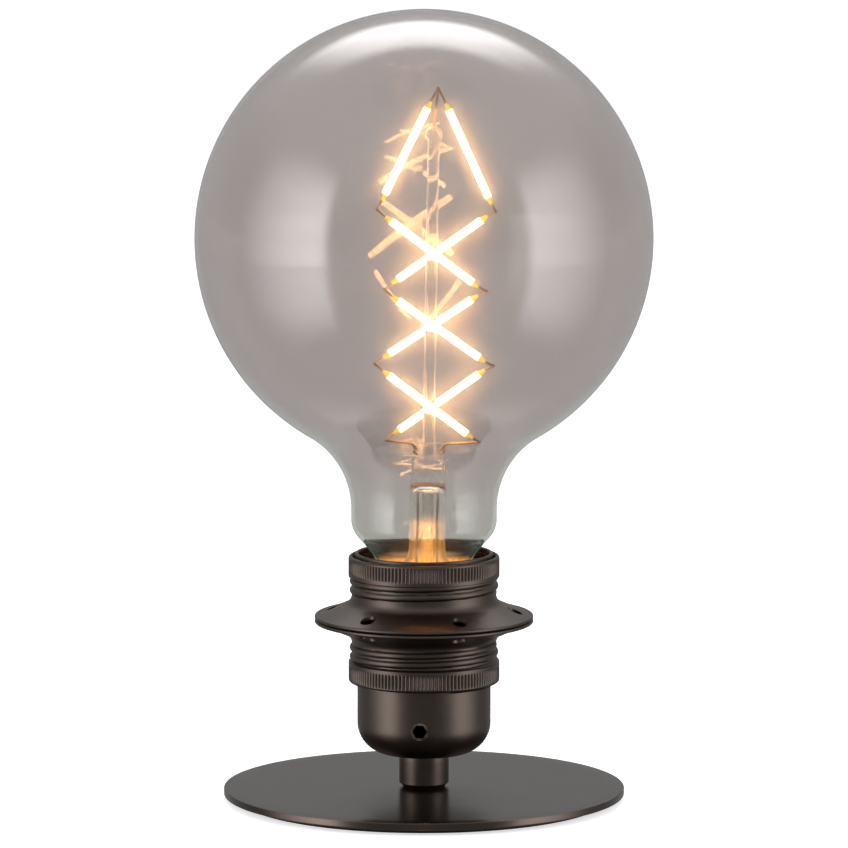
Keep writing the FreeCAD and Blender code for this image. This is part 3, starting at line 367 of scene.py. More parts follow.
def coated(name, dark, light, scale, roughness, *, metallic=0.0, bump=0.1, depth=0.00005,
           worn=None, wear=0.0):
    """A mottled, slightly textured finish with optional worn edges.

    dark and light are its two shades, roughness its lowest and highest value.
    """
    if name in bpy.data.materials:
        return bpy.data.materials[name]
    material, tree, shader = blank(name)
    texture = grain(tree, scale)
    mottle = texture.outputs["Mottle"]
    shade = ramp(tree, mottle, [(0.0, dark), (1.0, light)])
    if worn:
        edges = shared(tree, "edge_wear", wear_group, Amount=wear)
        shade = over(tree, edges.outputs["Wear"], shade, worn)
    relief = node(tree, "ShaderNodeBump", {
        "Strength": bump, "Distance": depth, "Height": texture.outputs["Height"]})
    tree.links.new(shade, shader.inputs["Base Color"])
    tree.links.new(graded(tree, mottle, 0.0, 1.0, *roughness), shader.inputs["Roughness"])
    tree.links.new(relief.outputs["Normal"], shader.inputs["Normal"])
    shader.inputs["Metallic"].default_value = metallic
    return material


def scaled(shade, factor):
    return tuple(min(channel * factor, 1.0) for channel in shade)


def bronze_metal():
    shade = tuple(bpy.context.scene.lamp_finishes.bronze)
    return coated("bronze_coat", scaled(shade, 0.9), scaled(shade, 1.12), 90.0, (0.37, 0.44),
                  metallic=1.0, bump=0.12, depth=0.00003, worn=(0.22, 0.135, 0.08), wear=0.3)


def base_metal():
    """The same coat, rolled smoother, so that the base mirrors the holder."""
    shade = tuple(bpy.context.scene.lamp_finishes.bronze)
    return coated("base_coat", scaled(shade, 0.9), scaled(shade, 1.1), 60.0, (0.22, 0.28),
                  metallic=1.0, bump=0.06, depth=0.00002, worn=(0.36, 0.20, 0.11), wear=0.6)


def glass(name, tints, roughness, painted_low_glow, painted_edge_glow, rim, haze=0.0):
    """Glass whose tint changes with height, given as (height, colour).

    The two glow settings are (height, height, strength), from where they start to where they
    are full: a painted glow low on the glass near the cap, and a painted highlight on its
    edges, both emission that stands in for the light of the filaments.
    rim is (colour, start, full): the colour of that painted edge highlight, and how far the
    glass has turned away where it starts and where it is full.
    haze is the share of its surface that is dull, too fine to be seen, and spreads light.
    """
    if name in bpy.data.materials:
        return bpy.data.materials[name]
    material, tree, shader = blank(name)
    place = object_place(tree)
    height = along(tree, place, "Z")
    # painted glow and painted edge highlight, as emission that stands in for the filaments'
    # light
    glow = painted_glass_glow(tree, height, painted_low_glow, painted_edge_glow, rim)
    lowest, highest = tints[0][0], tints[-1][0]
    stops = [((stop - lowest) / (highest - lowest), shade) for stop, shade in tints]
    tint = ramp(tree, graded(tree, height, lowest, highest), stops)
    wave = node(tree, "ShaderNodeTexNoise", {"Vector": place, "Scale": 25.0, "Detail": 1.0})
    relief = node(tree, "ShaderNodeBump", {
        "Strength": 0.15, "Distance": 0.0002, "Height": wave.outputs["Fac"]})
    speck = node(tree, "ShaderNodeTexWhiteNoise", {"Vector": place}).outputs["Value"]
    dull = node(tree, "ShaderNodeMath", {0: speck, 1: haze}, operation="LESS_THAN").outputs[0]
    dull_roughness = 0.3
    tree.links.new(glow, shader.inputs["Emission Color"])
    tree.links.new(tint, shader.inputs["Base Color"])
    tree.links.new(relief.outputs["Normal"], shader.inputs["Normal"])
    tree.links.new(graded(tree, dull, 0.0, 1.0, roughness, dull_roughness),
                   shader.inputs["Roughness"])
    shader.inputs["Emission Strength"].default_value = 1.0
    shader.inputs["IOR"].default_value = 1.5
    shader.inputs["Transmission Weight"].default_value = 1.0
    return material


def painted_glass_glow(tree, height, painted_low_glow, painted_edge_glow, rim):
    """The colour of the painted glow and painted edge highlight on the glass, at full
    brightness.
    """
    # painted glow low on the glass, for the filaments' light seen near the cap
    start, full, strength = painted_low_glow
    low = graded(tree, height, start, full)
    # painted glints: that painted glow broken up by fine mottling
    painted_glints = graded(tree, grain(tree, 350.0).outputs["Mottle"], 0.0, 1.0, 0.25 * strength,
                    1.6 * strength)
    # painted highlight on the edges that turn away, past a height
    start, full, strength = painted_edge_glow
    high = graded(tree, height, start, full, 0.0, strength)
    painted_edge_colour, start, full = rim
    facing = node(tree, "ShaderNodeLayerWeight", {"Blend": 0.5}).outputs["Facing"]
    painted_edge_light = times(tree, high, graded(tree, facing, start, full))
    total = node(tree, "ShaderNodeMath", {0: times(tree, low, painted_glints), 1: painted_edge_light},
                 operation="ADD").outputs[0]
    # orange where the painted glow is, the painted edge colour above it
    shade = ramp(tree, low, [(0.0, painted_edge_colour), (0.3, (1.0, 0.43, 0.1))])
    return node(tree, "ShaderNodeVectorMath", {0: shade, "Scale": total},
                operation="SCALE").outputs[0]


def smoke_glass():
    finishes = bpy.context.scene.lamp_finishes
    tint = tuple(finishes.glass_tint)
    green = (tint[0] * 1.03, tint[1] * 1.12, tint[2] * 1.06)
    return glass(
        "smoked_globe", [(0.06, green), (0.095, tint), (0.218, tint)], roughness=0.02,
        # painted glow near the cap, and a green painted highlight on the edges of the lower
        # globe
        painted_low_glow=(0.0672, 0.0655, 0.65), painted_edge_glow=(0.125, 0.09, 0.16),
        rim=((0.42, 0.9, 0.62), 0.72, 0.98), haze=finishes.haze)


def clear_glass():
    return glass(
        "clear_mount", [(0.06, (0.97, 0.96, 0.93)), (0.19, (0.98, 0.97, 0.96))], roughness=0.0,
        # painted glow low on the stem, and a warm painted highlight on the edges of the rod and
        # the top of the stem
        painted_low_glow=(0.079, 0.076, 0.2), painted_edge_glow=(0.094, 0.098, 0.9),
        rim=((1.0, 0.74, 0.4), 0.25, 0.8))


def lit(name, stops, strength, shade):
    """A glowing coat, whose colours run from its middle to its rim."""
    if name in bpy.data.materials:
        return bpy.data.materials[name]
    material, tree, shader = blank(name)
    facing = node(tree, "ShaderNodeLayerWeight", {"Blend": 0.5}).outputs["Facing"]
    tree.links.new(ramp(tree, facing, stops), shader.inputs["Emission Color"])
    shader.inputs["Emission Strength"].default_value = strength
    mottle = grain(tree, 900.0).outputs["Mottle"]
    tree.links.new(ramp(tree, mottle, [(0, shade), (1, scaled(shade, 1.15))]),
                   shader.inputs["Base Color"])
    shader.inputs["Roughness"].default_value = 0.45
    return material


def phosphor_glow():
    finishes = bpy.context.scene.lamp_finishes
    warm = tuple(finishes.glow)
    rim = (warm[0] * 0.1, warm[1] * 0.05, warm[2] * 0.02)
    return lit("phosphor_glow", [(0.0, warm), (0.6, warm), (1.0, rim)],
               finishes.glow_strength, (0.85, 0.62, 0.2))


def phosphor_end():
    return lit("phosphor_end", [(0.0, (1.0, 0.74, 0.07)), (1.0, (0.75, 0.36, 0.03))],
               1.15, (0.8, 0.5, 0.06))


# ---------------------------------------------------------------- base


class LAMP_OT_base(Operator):
    """Turn the thin round base and the foot that stands on it"""
    bl_idname = "lamp.base"
    bl_label = "Base"

    def execute(self, context):
        sizes = context.scene.lamp_base
        edge, low, high = sizes.edge_round, sizes.disc_bottom, sizes.disc_top
        wide = sizes.disc_radius
        hole, hole_depth = 2.6 * MM, 10.6 * MM
        disc = Outline(hole, low).to(wide - edge, low, 6)
        disc.bend(wide, low + edge, edge, 1, 5).to(wide, high - edge)
        disc.bend(wide - edge, high, edge, 1, 5).to(hole, high, 12)
        made = new_piece("base_disc_turned", disc.turned(256))
        finish(made, "holder", "bronze_metal", ["base_disc"], base_metal())

        radius, top, bevel = sizes.spacer_radius, sizes.spacer_top, 0.15 * MM
        chamfer, spigot, end = sizes.spacer_chamfer, sizes.spigot_radius, sizes.spigot_top
        lead_in = 0.6 * MM
        foot = Outline(hole, high).to(radius - chamfer, high)
        foot.to(radius, high + chamfer).to(radius, top - bevel, 4)
        foot.bend(radius - bevel, top, bevel, 1, 3).to(spigot, top)
        foot.to(spigot, end - lead_in, 6).to(spigot - lead_in, end).to(0, end)
        made = new_piece("spacer_turned", solid_foot(foot, hole, high + hole_depth))
        finish(made, "holder", "bronze_metal", ["spacer"], bronze_metal())
        return {"FINISHED"}


def solid_foot(outer, hole, bottom_of_hole):
    """Close the foot's outline with its tapped hole and spin it."""
    inner = bmesh.ops.extrude_vert_indiv(outer.wire, verts=[outer.first])["verts"][0]
    inner.co = (hole, 0, bottom_of_hole)
    last = bmesh.ops.extrude_vert_indiv(outer.wire, verts=[inner])["verts"][0]
    last.co = (0, 0, bottom_of_hole)
    return outer.turned(96, closed=False)


# ---------------------------------------------------------------- holder


class LAMP_OT_dome(Operator):
    """Spin the dome, then bore its front for the lock screw and its rear for the cord"""
    bl_idname = "lamp.dome"
    bl_label = "Dome"

    def execute(self, context):
        sizes = context.scene.lamp_holder
        base = context.scene.lamp_base
        radius, top, corner, wall = (sizes.dome_radius, sizes.dome_top, sizes.dome_corner,
                                     sizes.dome_wall)
        floor, hole = base.spacer_top, base.spigot_radius + 0.1 * MM
        flat, turn = radius - corner, floor + corner
        shell = Outline(hole, floor).to(flat, floor, 3).bend(radius, turn, corner, 1, 20)
        shell.to(radius, top, 22).to(radius - wall, top).to(radius - wall, turn, 12)
        shell.bend(flat, floor + wall, corner - wall, -1, 14).to(hole, floor + wall, 2)
        made = new_piece("dome_spun", shell.turned(192))
        near, far = 10 * MM, 20 * MM
        lock_bore, lock_level, lock_turn = 2.48 * MM, 21.7 * MM, 266.2
        cord_bore, cord_level = 4.3 * MM, 22.9 * MM
        lock = raised(lock_level) @ rotated("Z", lock_turn) @ rotated("Y", 90)
        cord = raised(cord_level) @ rotated("X", -90)
        bored(made, [punch("lock_bore", [lock], lock_bore, near, far, 48),
                     punch("cord_bore", [cord], cord_bore, near, far, 48)])
        finish(made, "holder", "bronze_metal", ["dome_cap"], bronze_metal())
        return {"FINISHED"}


class LAMP_OT_skirt(Operator):
    """Turn the threaded skirt with its rolled rim"""
    bl_idname = "lamp.skirt"
    bl_label = "Threaded skirt"

    def execute(self, context):
        sizes = context.scene.lamp_holder
        radius, top, low = sizes.skirt_radius, sizes.skirt_top, sizes.dome_top
        rim, rim_round, relief = 1.5 * MM, 0.4 * MM, 18.4 * MM
        rim_out, rim_in, bore = 18.9 * MM, 17.9 * MM, 17.6 * MM
        fit, wall, runout, spigot_length = 0.06 * MM, 1.2 * MM, 1.0 * MM, 5 * MM
        groove_width, groove_depth = 1.7 * MM, 0.6 * MM
        spigot = sizes.dome_radius - sizes.dome_wall - fit
        throat = spigot - wall
        thread_top, end = top - rim - runout, low - spigot_length
        tube = Outline(throat, end).to(spigot, end).to(spigot, low, 2)
        tube.to(radius, low).to(radius, thread_top, 150).to(relief, thread_top)
        tube.to(relief, top - rim, 2).to(rim_out, top - rim).to(rim_out, top - rim_round, 2)
        tube.bend(rim_out - rim_round, top, rim_round, 1, 5).to(rim_in + rim_round, top)
        tube.bend(rim_in, top - rim_round, rim_round, 1, 5).to(rim_in, top - rim)
        tube.to(bore, top - rim).to(bore, low + wall, 8).to(throat, low + wall)
        mesh = tube.turned(160)
        wind_thread(mesh, radius, low, thread_top, sizes.thread_pitch, groove_width,
                    groove_depth)
        made = new_piece("skirt_turned", mesh, crease=50)
        finish(made, "holder", "bronze_metal", ["threaded_skirt"], bronze_metal())
        return {"FINISHED"}


def wind_thread(mesh, radius, low, high, pitch, width, depth):
    """Press a round-bottomed groove into the outside of a turned tube."""
    for vertex in mesh.verts:
        x, y, z = vertex.co
        if abs(math.hypot(x, y) - radius) > NEAR or not low < z < high:
            continue
        away = from_nearest((z - low) / pitch - turn_of(vertex)) * pitch
        shrink = 1 - depth * smooth_step(1.6 * (1 - 2 * away / width)) / radius
        vertex.co = (x * shrink, y * shrink, z)


def turn_of(vertex):
    """How far a vertex lies round the Z axis, in turns."""
    return math.atan2(vertex.co.y, vertex.co.x) / math.tau % 1


def from_nearest(value):
    """How far a value is from the nearest whole number."""
    return abs((value + 0.5) % 1 - 0.5)


class LAMP_OT_rings(Operator):
    """Press and knurl the two shade rings, face to face"""
    bl_idname = "lamp.rings"
    bl_label = "Shade rings"

    def execute(self, context):
        level = raised(context.scene.lamp_holder.ring_plane)
        first_hole = 292.6
        for name, node_name, body, angle, placement in (
            ("upper_ring_pressed", "upper_shade_ring", "upper_ring", first_hole, level),
            ("lower_ring_pressed", "lower_shade_ring", "lower_ring", -first_hole,
             level @ rotated("X", 180)),
        ):
            made = shade_ring(context.scene.lamp_holder, name, angle)
            made.data.transform(placement)
            finish(made, body, "bronze_metal", [node_name], bronze_metal())
        return {"FINISHED"}


def shade_ring(sizes, name, hole_angle):
    """One ring at its own zero, the plane of its flange."""
    rim, seam, sheet, slope, circle = 0.5 * MM, 0.1 * MM, 0.87 * MM, 0.434, 25.1 * MM
    neck, bore, height = 19.8 * MM, 19.35 * MM, sizes.ring_height
    band, flange = sizes.band_radius, sizes.flange_radius
    band_low, chamfer, lip = height - 5.7 * MM, 0.5 * MM, 0.8 * MM
    cone_rise, cone_top, inner_top = 2.5 * MM, 21.6 * MM, 20.9 * MM
    sweep, sweep_end, inner_sweep, bore_end = 3.1 * MM, 6.8 * MM, 2.2 * MM, 5.3 * MM
    hole, holes, punch_top = 2.05 * MM, 6, 9 * MM

    def cone(radius):
        return cone_rise + slope * (circle - radius)

    foot = circle + (cone_rise - sheet - seam) / slope
    centre = flange - rim
    line = Outline(foot, seam).to(centre, seam).bend(flange, seam + rim, rim, 1, 5)
    line.bend(centre, seam + 2 * rim, rim, 1, 5).to(centre - rim, cone(centre - rim), 2)
    line.to(cone_top, cone(cone_top), 8).bend(neck, sweep_end, sweep, -1, 12)
    line.to(neck, band_low - chamfer, 32).to(band, band_low, 5)
    line.to(band, band_low + 1.0 * MM, 2).to(band, band_low + 1.2 * MM)
    line.to(band, height - lip - 0.15 * MM, 3).to(band, height - lip)
    line.bend(band - lip, height, lip, 1, 6).to(bore, height - lip, 2)
    line.to(bore, bore_end, 6).bend(inner_top, cone(inner_top) - sheet, inner_sweep, 1, 5)
    knurls = sizes.knurl_count
    mesh = line.turned(6 * knurls, sectors=max(knurls // 5, 1))
    roll_and_knurl(mesh, sizes, neck, band_low, height - lip)
    made = new_piece(name, mesh, crease=42)
    places = [rotated("Z", hole_angle + 360 / holes * count)
              @ Matrix.Translation((circle, 0, 0)) for count in range(holes)]
    bored(made, [punch("shade_holes", places, hole, -1 * MM, punch_top, 32)], crease=42)
    return made


def roll_and_knurl(mesh, sizes, neck, band_low, band_high):
    """Roll the thread's beads out of the neck and press the grooves into the band."""
    band, knurls, half_groove = sizes.band_radius, sizes.knurl_count, 0.36 * MM
    groove_low, groove_high = band_low + 1.1 * MM, band_high - 0.05 * MM
    neck_low = 5 * MM
    for vertex in mesh.verts:
        x, y, z = vertex.co
        radius = math.hypot(x, y)
        target, turn = radius, turn_of(vertex)
        if radius > neck - NEAR and neck_low < z < band_low + NEAR:
            target = max(radius, neck + bead(sizes, z, turn))
        if abs(radius - band) < NEAR and groove_low < z < groove_high:
            across = from_nearest(turn * knurls) * math.tau * band / knurls
            target = radius - max(sizes.knurl_depth * (1 - across / half_groove), 0)
        vertex.co = (x * target / radius, y * target / radius, z)


def bead(sizes, height, turn):
    """How far the rolled thread stands out of the neck at a height and a turn."""
    width, tall, turns, start = 1.9 * MM, sizes.bead_height, 2.4, 6.7 * MM
    curve = width**2 / (8 * tall) + tall / 2
    out = 0.0
    for lap in range(3):
        along = turn + lap
        if along > turns:
            continue
        away = abs(height - start - along * sizes.thread_pitch)
        if away < width / 2:
            swell = math.sqrt(curve**2 - away**2) - (curve - tall)
            fade = smooth_step(along / 0.04) * smooth_step((turns - along) / 0.04)
            out = max(out, swell * fade)
    return out


# ---------------------------------------------------------------- bulb


def mount_frame():
    """The glass mount leans a little inside the globe."""
    return Matrix.Translation((0.7 * MM, 0, 61.8 * MM)) @ rotated("Y", 0.9)


class LAMP_OT_glass(Operator):
    """Blow the globe and draw the glass mount inside it"""
    bl_idname = "lamp.glass"
    bl_label = "Glass"

    def execute(self, context):
        sizes = context.scene.lamp_bulb
        made = new_piece("globe_blown", globe_mesh(sizes), crease=60)
        finish(made, "bulb", "smoke_glass", ["bulb_globe"], smoke_glass())
        made = new_piece("mount_drawn", mount_mesh(sizes), crease=60)
        finish(made, "bulb", "clear_glass", ["bulb_stem", "support_rod"], clear_glass())
        outer, inner, low, high = 1.7 * MM, 1.1 * MM, -5.6 * MM, 24 * MM
        tube = Outline(inner, low).to(outer, low).to(outer, high, 8).to(inner, high)
        mesh = tube.turned(32)
        bmesh.ops.transform(mesh, matrix=mount_frame(), verts=mesh.verts[:])
        made = new_piece("exhaust_drawn", mesh)
        finish(made, "bulb", "clear_glass", ["exhaust_tube"], clear_glass())
        return {"FINISHED"}


def globe_mesh(sizes):
    """A closed shell of glass, from its top down the inside and back up the outside."""
    foot, flare, corner = 12.75 * MM, 14.2 * MM, 7 * MM
    foot_low, foot_high, flare_level = 61.6 * MM, 65.6 * MM, 68.4 * MM
    neck_low, neck_high = 77.6 * MM, 80.3 * MM
    neck, fillet, ball, wall = (sizes.neck_radius, sizes.neck_fillet, sizes.globe_radius,
                                sizes.glass_wall)
    across, reach = neck + fillet, ball + fillet
    fall = math.sqrt(reach**2 - across**2)
    centre = neck_high + fall
    diagonal = math.sqrt(0.5)

    def points(inset):
        bend = (corner - inset) * diagonal
        return {
            "foot": (foot - inset, foot_low),
            "rise": (foot - inset, foot_high + inset / 2),
            "flare": (flare - inset * diagonal, flare_level + inset * diagonal),
            "shoulder": (neck - corner + bend, neck_low - bend),
            "neck": (neck - inset, neck_low),
            "hollow": (neck - inset, neck_high),
            "join": (across * (ball - inset) / reach, centre - fall * (ball - inset) / reach),
            "top": (0, centre + ball - inset),
        }

    inner, outer = points(wall), points(0)
    line = Outline(*inner["top"]).bend(*inner["join"], ball - wall, -1, 72)
    line.bend(*inner["hollow"], fillet + wall, 1, 20).to(*inner["neck"], 2)
    line.bend(*inner["shoulder"], corner - wall, -1, 8).to(*inner["flare"], 4)
    line.to(*inner["rise"], 2).to(*inner["foot"], 2).to(*outer["foot"])
    line.to(*outer["rise"], 2).to(*outer["flare"], 2).to(*outer["shoulder"], 4)
    line.bend(*outer["neck"], corner, 1, 8).to(*outer["hollow"], 2)
    line.bend(*outer["join"], fillet, -1, 20).bend(*outer["top"], ball, 1, 72)
    return line.turned(192, closed=False)


def mount_mesh(sizes):
    """The stem's flare and tube, its flat pinch, and the rod with its bead, in one glass."""
    rod, rod_low, rod_high, bead_top = (sizes.rod_radius, 35.6 * MM, 119.85 * MM,
                                        123.8 * MM)
    bore, tube, flare_bore, flare = 3.95 * MM, 4.95 * MM, 10 * MM, 11 * MM
    flare_edge, flare_top, tube_top = 1 * MM, 8.9 * MM, 24.2 * MM
    pinch, pinch_low, pinch_high = 4.65 * MM, 25.6 * MM, 33.4 * MM
    crown, crown_top, flatness = 3.4 * MM, 34.9 * MM, 0.53
    line = Outline(0, tube_top + 0.2 * MM).to(2.8 * MM, tube_top, 3)
    line.bend(bore, tube_top - 1.6 * MM, 1.6 * MM, -1, 5)
    line.to(bore, flare_top, 8).bend(flare_bore, 0, 9 * MM, 1, 12).to(flare, 0)
    line.to(flare, flare_edge).bend(tube, flare_top, 8 * MM, -1, 12)
    line.to(tube, tube_top, 10).bend(pinch, pinch_low, 2 * MM, 1, 4)
    line.to(pinch, pinch_high, 10).bend(crown, crown_top, 1.6 * MM, 1, 5)
    line.to(rod + 0.5 * MM, crown_top, 2).bend(rod, rod_low, 0.6 * MM, -1, 4)
    line.to(rod, rod_high, 40).bend(0, bead_top, 2.3 * MM, 1, 14)
    mesh = line.turned(64, closed=False)
    for vertex in mesh.verts:
        flat = smooth_step((vertex.co.z - 23.4 * MM) / (3 * MM))
        flat *= 1 - smooth_step((vertex.co.z - 34.2 * MM) / (1.4 * MM))
        vertex.co.y *= 1 - flatness * flat
    bmesh.ops.transform(mesh, matrix=mount_frame(), verts=mesh.verts[:])
    return mesh


def filament_corners():
    """The bends of the two filament strings, which cross between their corners."""
    middle = Vector((1.1, 0, 0))
    apex, foot = (0.9, 132.6), (12.9, 37.2)
    bends = (apex, (16.0, 100.7), (13.8, 78.8), (16.0, 58.4), foot)
    strings = []
    for start in (-1, 1):
        sides = (start, start, -start, start, -start)
        strings.append([(Vector((side * across, 0, up)) + middle) * MM
                        for side, (across, up) in zip(sides, bends)])
    return strings


def filament_ends():
    """Where each stick starts and ends, in front of and behind the rod by turns."""
    strings, aside, gap = [], 2.7 * MM, 2.6
    for bends, depth in zip(filament_corners(), (aside, -aside)):
        ends = []
        for start, end in zip(bends, bends[1:]):
            run = (end - start).normalized() * gap * MM
            out = Vector((0, depth, 0))
            ends.append((start + run + out, end - run + out))
            depth = -depth
        strings.append(ends)
    return strings


def wire_mesh(paths, radius, smooth=False):
    """Round wires along paths, as a bmesh in the frame of the mount."""
    curve = bpy.data.curves.new("wire", "CURVE")
    curve.dimensions = "3D"
    curve.bevel_depth = radius
    curve.bevel_resolution = 3
    curve.use_fill_caps = True
    for path in paths:
        spline = curve.splines.new("NURBS" if smooth else "POLY")
        spline.points.add(len(path) - 1)
        for point, place in zip(spline.points, path):
            point.co = (*place, 1.0)
        if smooth:
            spline.order_u = 3
            spline.use_endpoint_u = True
    holder = bpy.data.objects.new("wire", curve)
    bpy.context.scene.collection.objects.link(holder)
    depsgraph = bpy.context.evaluated_depsgraph_get()
    data = bpy.data.meshes.new_from_object(holder.evaluated_get(depsgraph))
    mesh = bmesh.new()
    mesh.from_mesh(data)
    bpy.data.objects.remove(holder)
    bpy.data.curves.remove(curve)
    bpy.data.meshes.remove(data)
    bmesh.ops.remove_doubles(mesh, verts=mesh.verts[:], dist=MERGE)
    bmesh.ops.recalc_face_normals(mesh, faces=mesh.faces[:])
    return mesh


class LAMP_OT_filaments(Operator):
    """Hang the eight filaments and weld the wires between them"""
    bl_idname = "lamp.filaments"
    bl_label = "Filaments and wires"

    def execute(self, context):
        sizes = context.scene.lamp_bulb
        corners, strings = filament_corners(), filament_ends()
        sticks = [ends for string in strings for ends in string]
        for count, (start, end) in enumerate(sticks, 1):
            made = stick(f"filament_lit_{count}", start, end, sizes.stick_radius)
            finish(made, "bulb", "phosphor", [f"filament_{count}"], phosphor_glow(),
                   phosphor_end())
        radius = sizes.wire_radius
        links, welds = [], []
        for bends, ends in zip(corners, strings):
            for bend, above, below in zip(bends[1:-1], ends, ends[1:]):
                links.append((above[1], bend, below[0]))
                welds.append(bend)
        mesh = wire_mesh(links, radius * 0.85)
        for place in welds:
            weld(mesh, place, radius * 1.5)
        self.add("corner_welds", mesh, "filament_links")
        peak = Vector((1.1, 0, 134.2)) * MM
        rod_end = Vector((0, 0, 123.7)) * MM
        tops = [(peak, ends[0][0]) for ends in strings]
        mesh = wire_mesh([(rod_end, peak)] + tops, radius * 0.9)
        weld(mesh, peak, radius * 1.2)
        self.add("apex_wire", mesh, "top_wire")
        for bends, ends in zip(corners, strings):
            foot = bends[-1]
            side, hand = (1, "right") if foot.x > 0 else (-1, "left")
            path = [Vector((side * 2.9, 0, 35.0)) * MM, Vector((side * 4.6, 0, 36.5)) * MM,
                    foot, ends[-1][1]]
            self.add(f"{hand}_feed", wire_mesh([path], radius * 0.9), f"{hand}_lead_wire")
        apart, low, high, stem_wire = 2.9 * MM, -10.05 * MM, 24.3 * MM, 0.35 * MM
        inner = [[Vector((side * apart, 0, low)), Vector((side * apart, 0, 8 * MM)),
                  Vector((side * 2.5 * MM, side * 0.4 * MM, 16 * MM)),
                  Vector((side * apart, 0, high))] for side in (-1, 1)]
        self.add("stem_wires", wire_mesh(inner, stem_wire, smooth=True), "stem_leads")
        return {"FINISHED"}

    def add(self, name, mesh, node_name):
        """Stand a wire that was drawn in the mount's frame in its place."""
        bmesh.ops.transform(mesh, matrix=mount_frame(), verts=mesh.verts[:])
        finish(new_piece(name, mesh, crease=40), "bulb", "nickel_wire", [node_name],
               nickel_wire())


def weld(mesh, place, radius):
    """A small ball of metal where wires meet."""
    bmesh.ops.create_uvsphere(mesh, u_segments=12, v_segments=8, radius=radius,
                              matrix=Matrix.Translation(place))


def stick(name, start, end, radius):
    """One filament: a round bar of phosphor with drawn-in ends."""
    run = (end - start).length
    cap, tip, tip_length, draw = 2.0 * MM, 0.5 * MM, 0.3 * MM, 5 * MM
    line = Outline(0, 0).to(tip, 0).to(tip, tip_length)
    line.bend(radius, cap, draw, -1, 5).to(radius, run - cap, 10)
    line.bend(tip, run - tip_length, draw, -1, 5).to(tip, run).to(0, run)
    mesh = line.turned(24, closed=False)
    for face in mesh.faces:
        middle = face.calc_center_median().z
        face.material_index = 0 if cap < middle < run - cap else 1
    turned = (end - start).to_track_quat("Z", "Y").to_matrix().to_4x4()
    placed = mount_frame() @ Matrix.Translation(start) @ turned
    bmesh.ops.transform(mesh, matrix=placed, verts=mesh.verts[:])
    return new_piece(name, mesh, crease=60)


# ---------------------------------------------------------------- finishes of the CAD nodes


def nickel_wire():
    return coated("drawn_nickel", (0.32, 0.21, 0.13), (0.50, 0.36, 0.24), 500.0, (0.35, 0.5),
                  metallic=1.0)


def keyed_screw():
    """Blackened steel for the lock screw, with painted shade near black inside its key."""
    material = coated("blackened_screw", (0.05, 0.042, 0.038), (0.07, 0.058, 0.052), 300.0,
                      (0.36, 0.44), metallic=1.0, worn=(0.3, 0.26, 0.22), wear=1.0)
    tree = material.node_tree
    base = tree.nodes["Principled BSDF"].inputs["Base Color"]
    steel = base.links[0].from_socket
    # painted shade: near black from the screw's face down into its key
    face, shadow = -17.8 * MM, -17.5 * MM
    painted_key_shade = graded(tree, along(tree, object_place(tree), "Y"), face, shadow)
    tree.links.new(over(tree, painted_key_shade, steel, (0.0005, 0.0005, 0.0005)), base)
    return material


def inner_finishes():
    """The finish of each node that keeps its CAD shape."""
    zinc = coated("zinc_plate", (0.50, 0.50, 0.49), (0.62, 0.62, 0.60), 300.0, (0.3, 0.45),
                  metallic=1.0)
    felt = coated("dense_felt", (0.015, 0.014, 0.014), (0.04, 0.038, 0.037), 700.0, (0.9, 1.0),
                  bump=0.8, depth=0.0003)
    plastic = coated("moulded_plastic", (0.012, 0.012, 0.012), (0.022, 0.021, 0.021), 500.0,
                     (0.4, 0.55), bump=0.2)
    porcelain = coated("glazed_porcelain", (0.68, 0.66, 0.61), (0.78, 0.76, 0.71), 90.0,
                       (0.2, 0.35), bump=0.05)
    brass = coated("pressed_brass", (0.62, 0.45, 0.20), (0.76, 0.58, 0.30), 260.0,
                   (0.22, 0.4), metallic=1.0, worn=(0.85, 0.72, 0.45), wear=0.6)
    cap = coated("plated_cap", (0.62, 0.50, 0.34), (0.76, 0.64, 0.46), 200.0, (0.25, 0.4),
                 metallic=1.0, worn=(0.85, 0.80, 0.7), wear=0.5)
    black_glass = coated("fused_glass", (0.006, 0.006, 0.009), (0.014, 0.013, 0.02), 200.0,
                         (0.05, 0.15), bump=0.03)
    solder = coated("soft_solder", (0.50, 0.50, 0.51), (0.68, 0.68, 0.68), 500.0, (0.3, 0.5),
                    metallic=1.0, bump=0.3)
    cement = coated("basing_cement", (0.42, 0.38, 0.32), (0.58, 0.53, 0.45), 420.0, (0.8, 0.95),
                    bump=0.6, depth=0.0002)
    board = coated("lacquered_board", (0.01, 0.09, 0.035), (0.02, 0.15, 0.06), 350.0,
                   (0.3, 0.45), bump=0.2)
    return {
        felt: ["base_pad"],
        zinc: ["base_screw", "lock_washer", "lock_nut", "earth_screw", "earth_washer",
               "left_terminal_screw", "right_terminal_screw"],
        keyed_screw(): ["lock_screw"],
        plastic: ["cord_bushing", "driver_capacitor", "driver_rectifier"],
        porcelain: ["holder_insulator"],
        brass: ["contact_shell", "shell_post", "tongue_foot", "contact_tongue",
                "tongue_rivet", "left_terminal", "right_terminal"],
        cap: ["screw_cap"],
        black_glass: ["cap_insulator"],
        solder: ["cap_contact", "centre_lead", "shell_lead"],
        cement: ["cap_cement"],
        board: ["driver_board"],
    }


class LAMP_OT_fittings(Operator):
    """Give the pad, the screws and the parts inside the holder their finishes"""
    bl_idname = "lamp.fittings"
    bl_label = "Fittings"

    def execute(self, context):
        for material, names in inner_finishes().items():
            for name in names:
                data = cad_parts[name].data
                if not data.materials:
                    data.materials.append(material)
                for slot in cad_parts[name].material_slots:
                    slot.material = material
        return {"FINISHED"}


# ---------------------------------------------------------------- stage


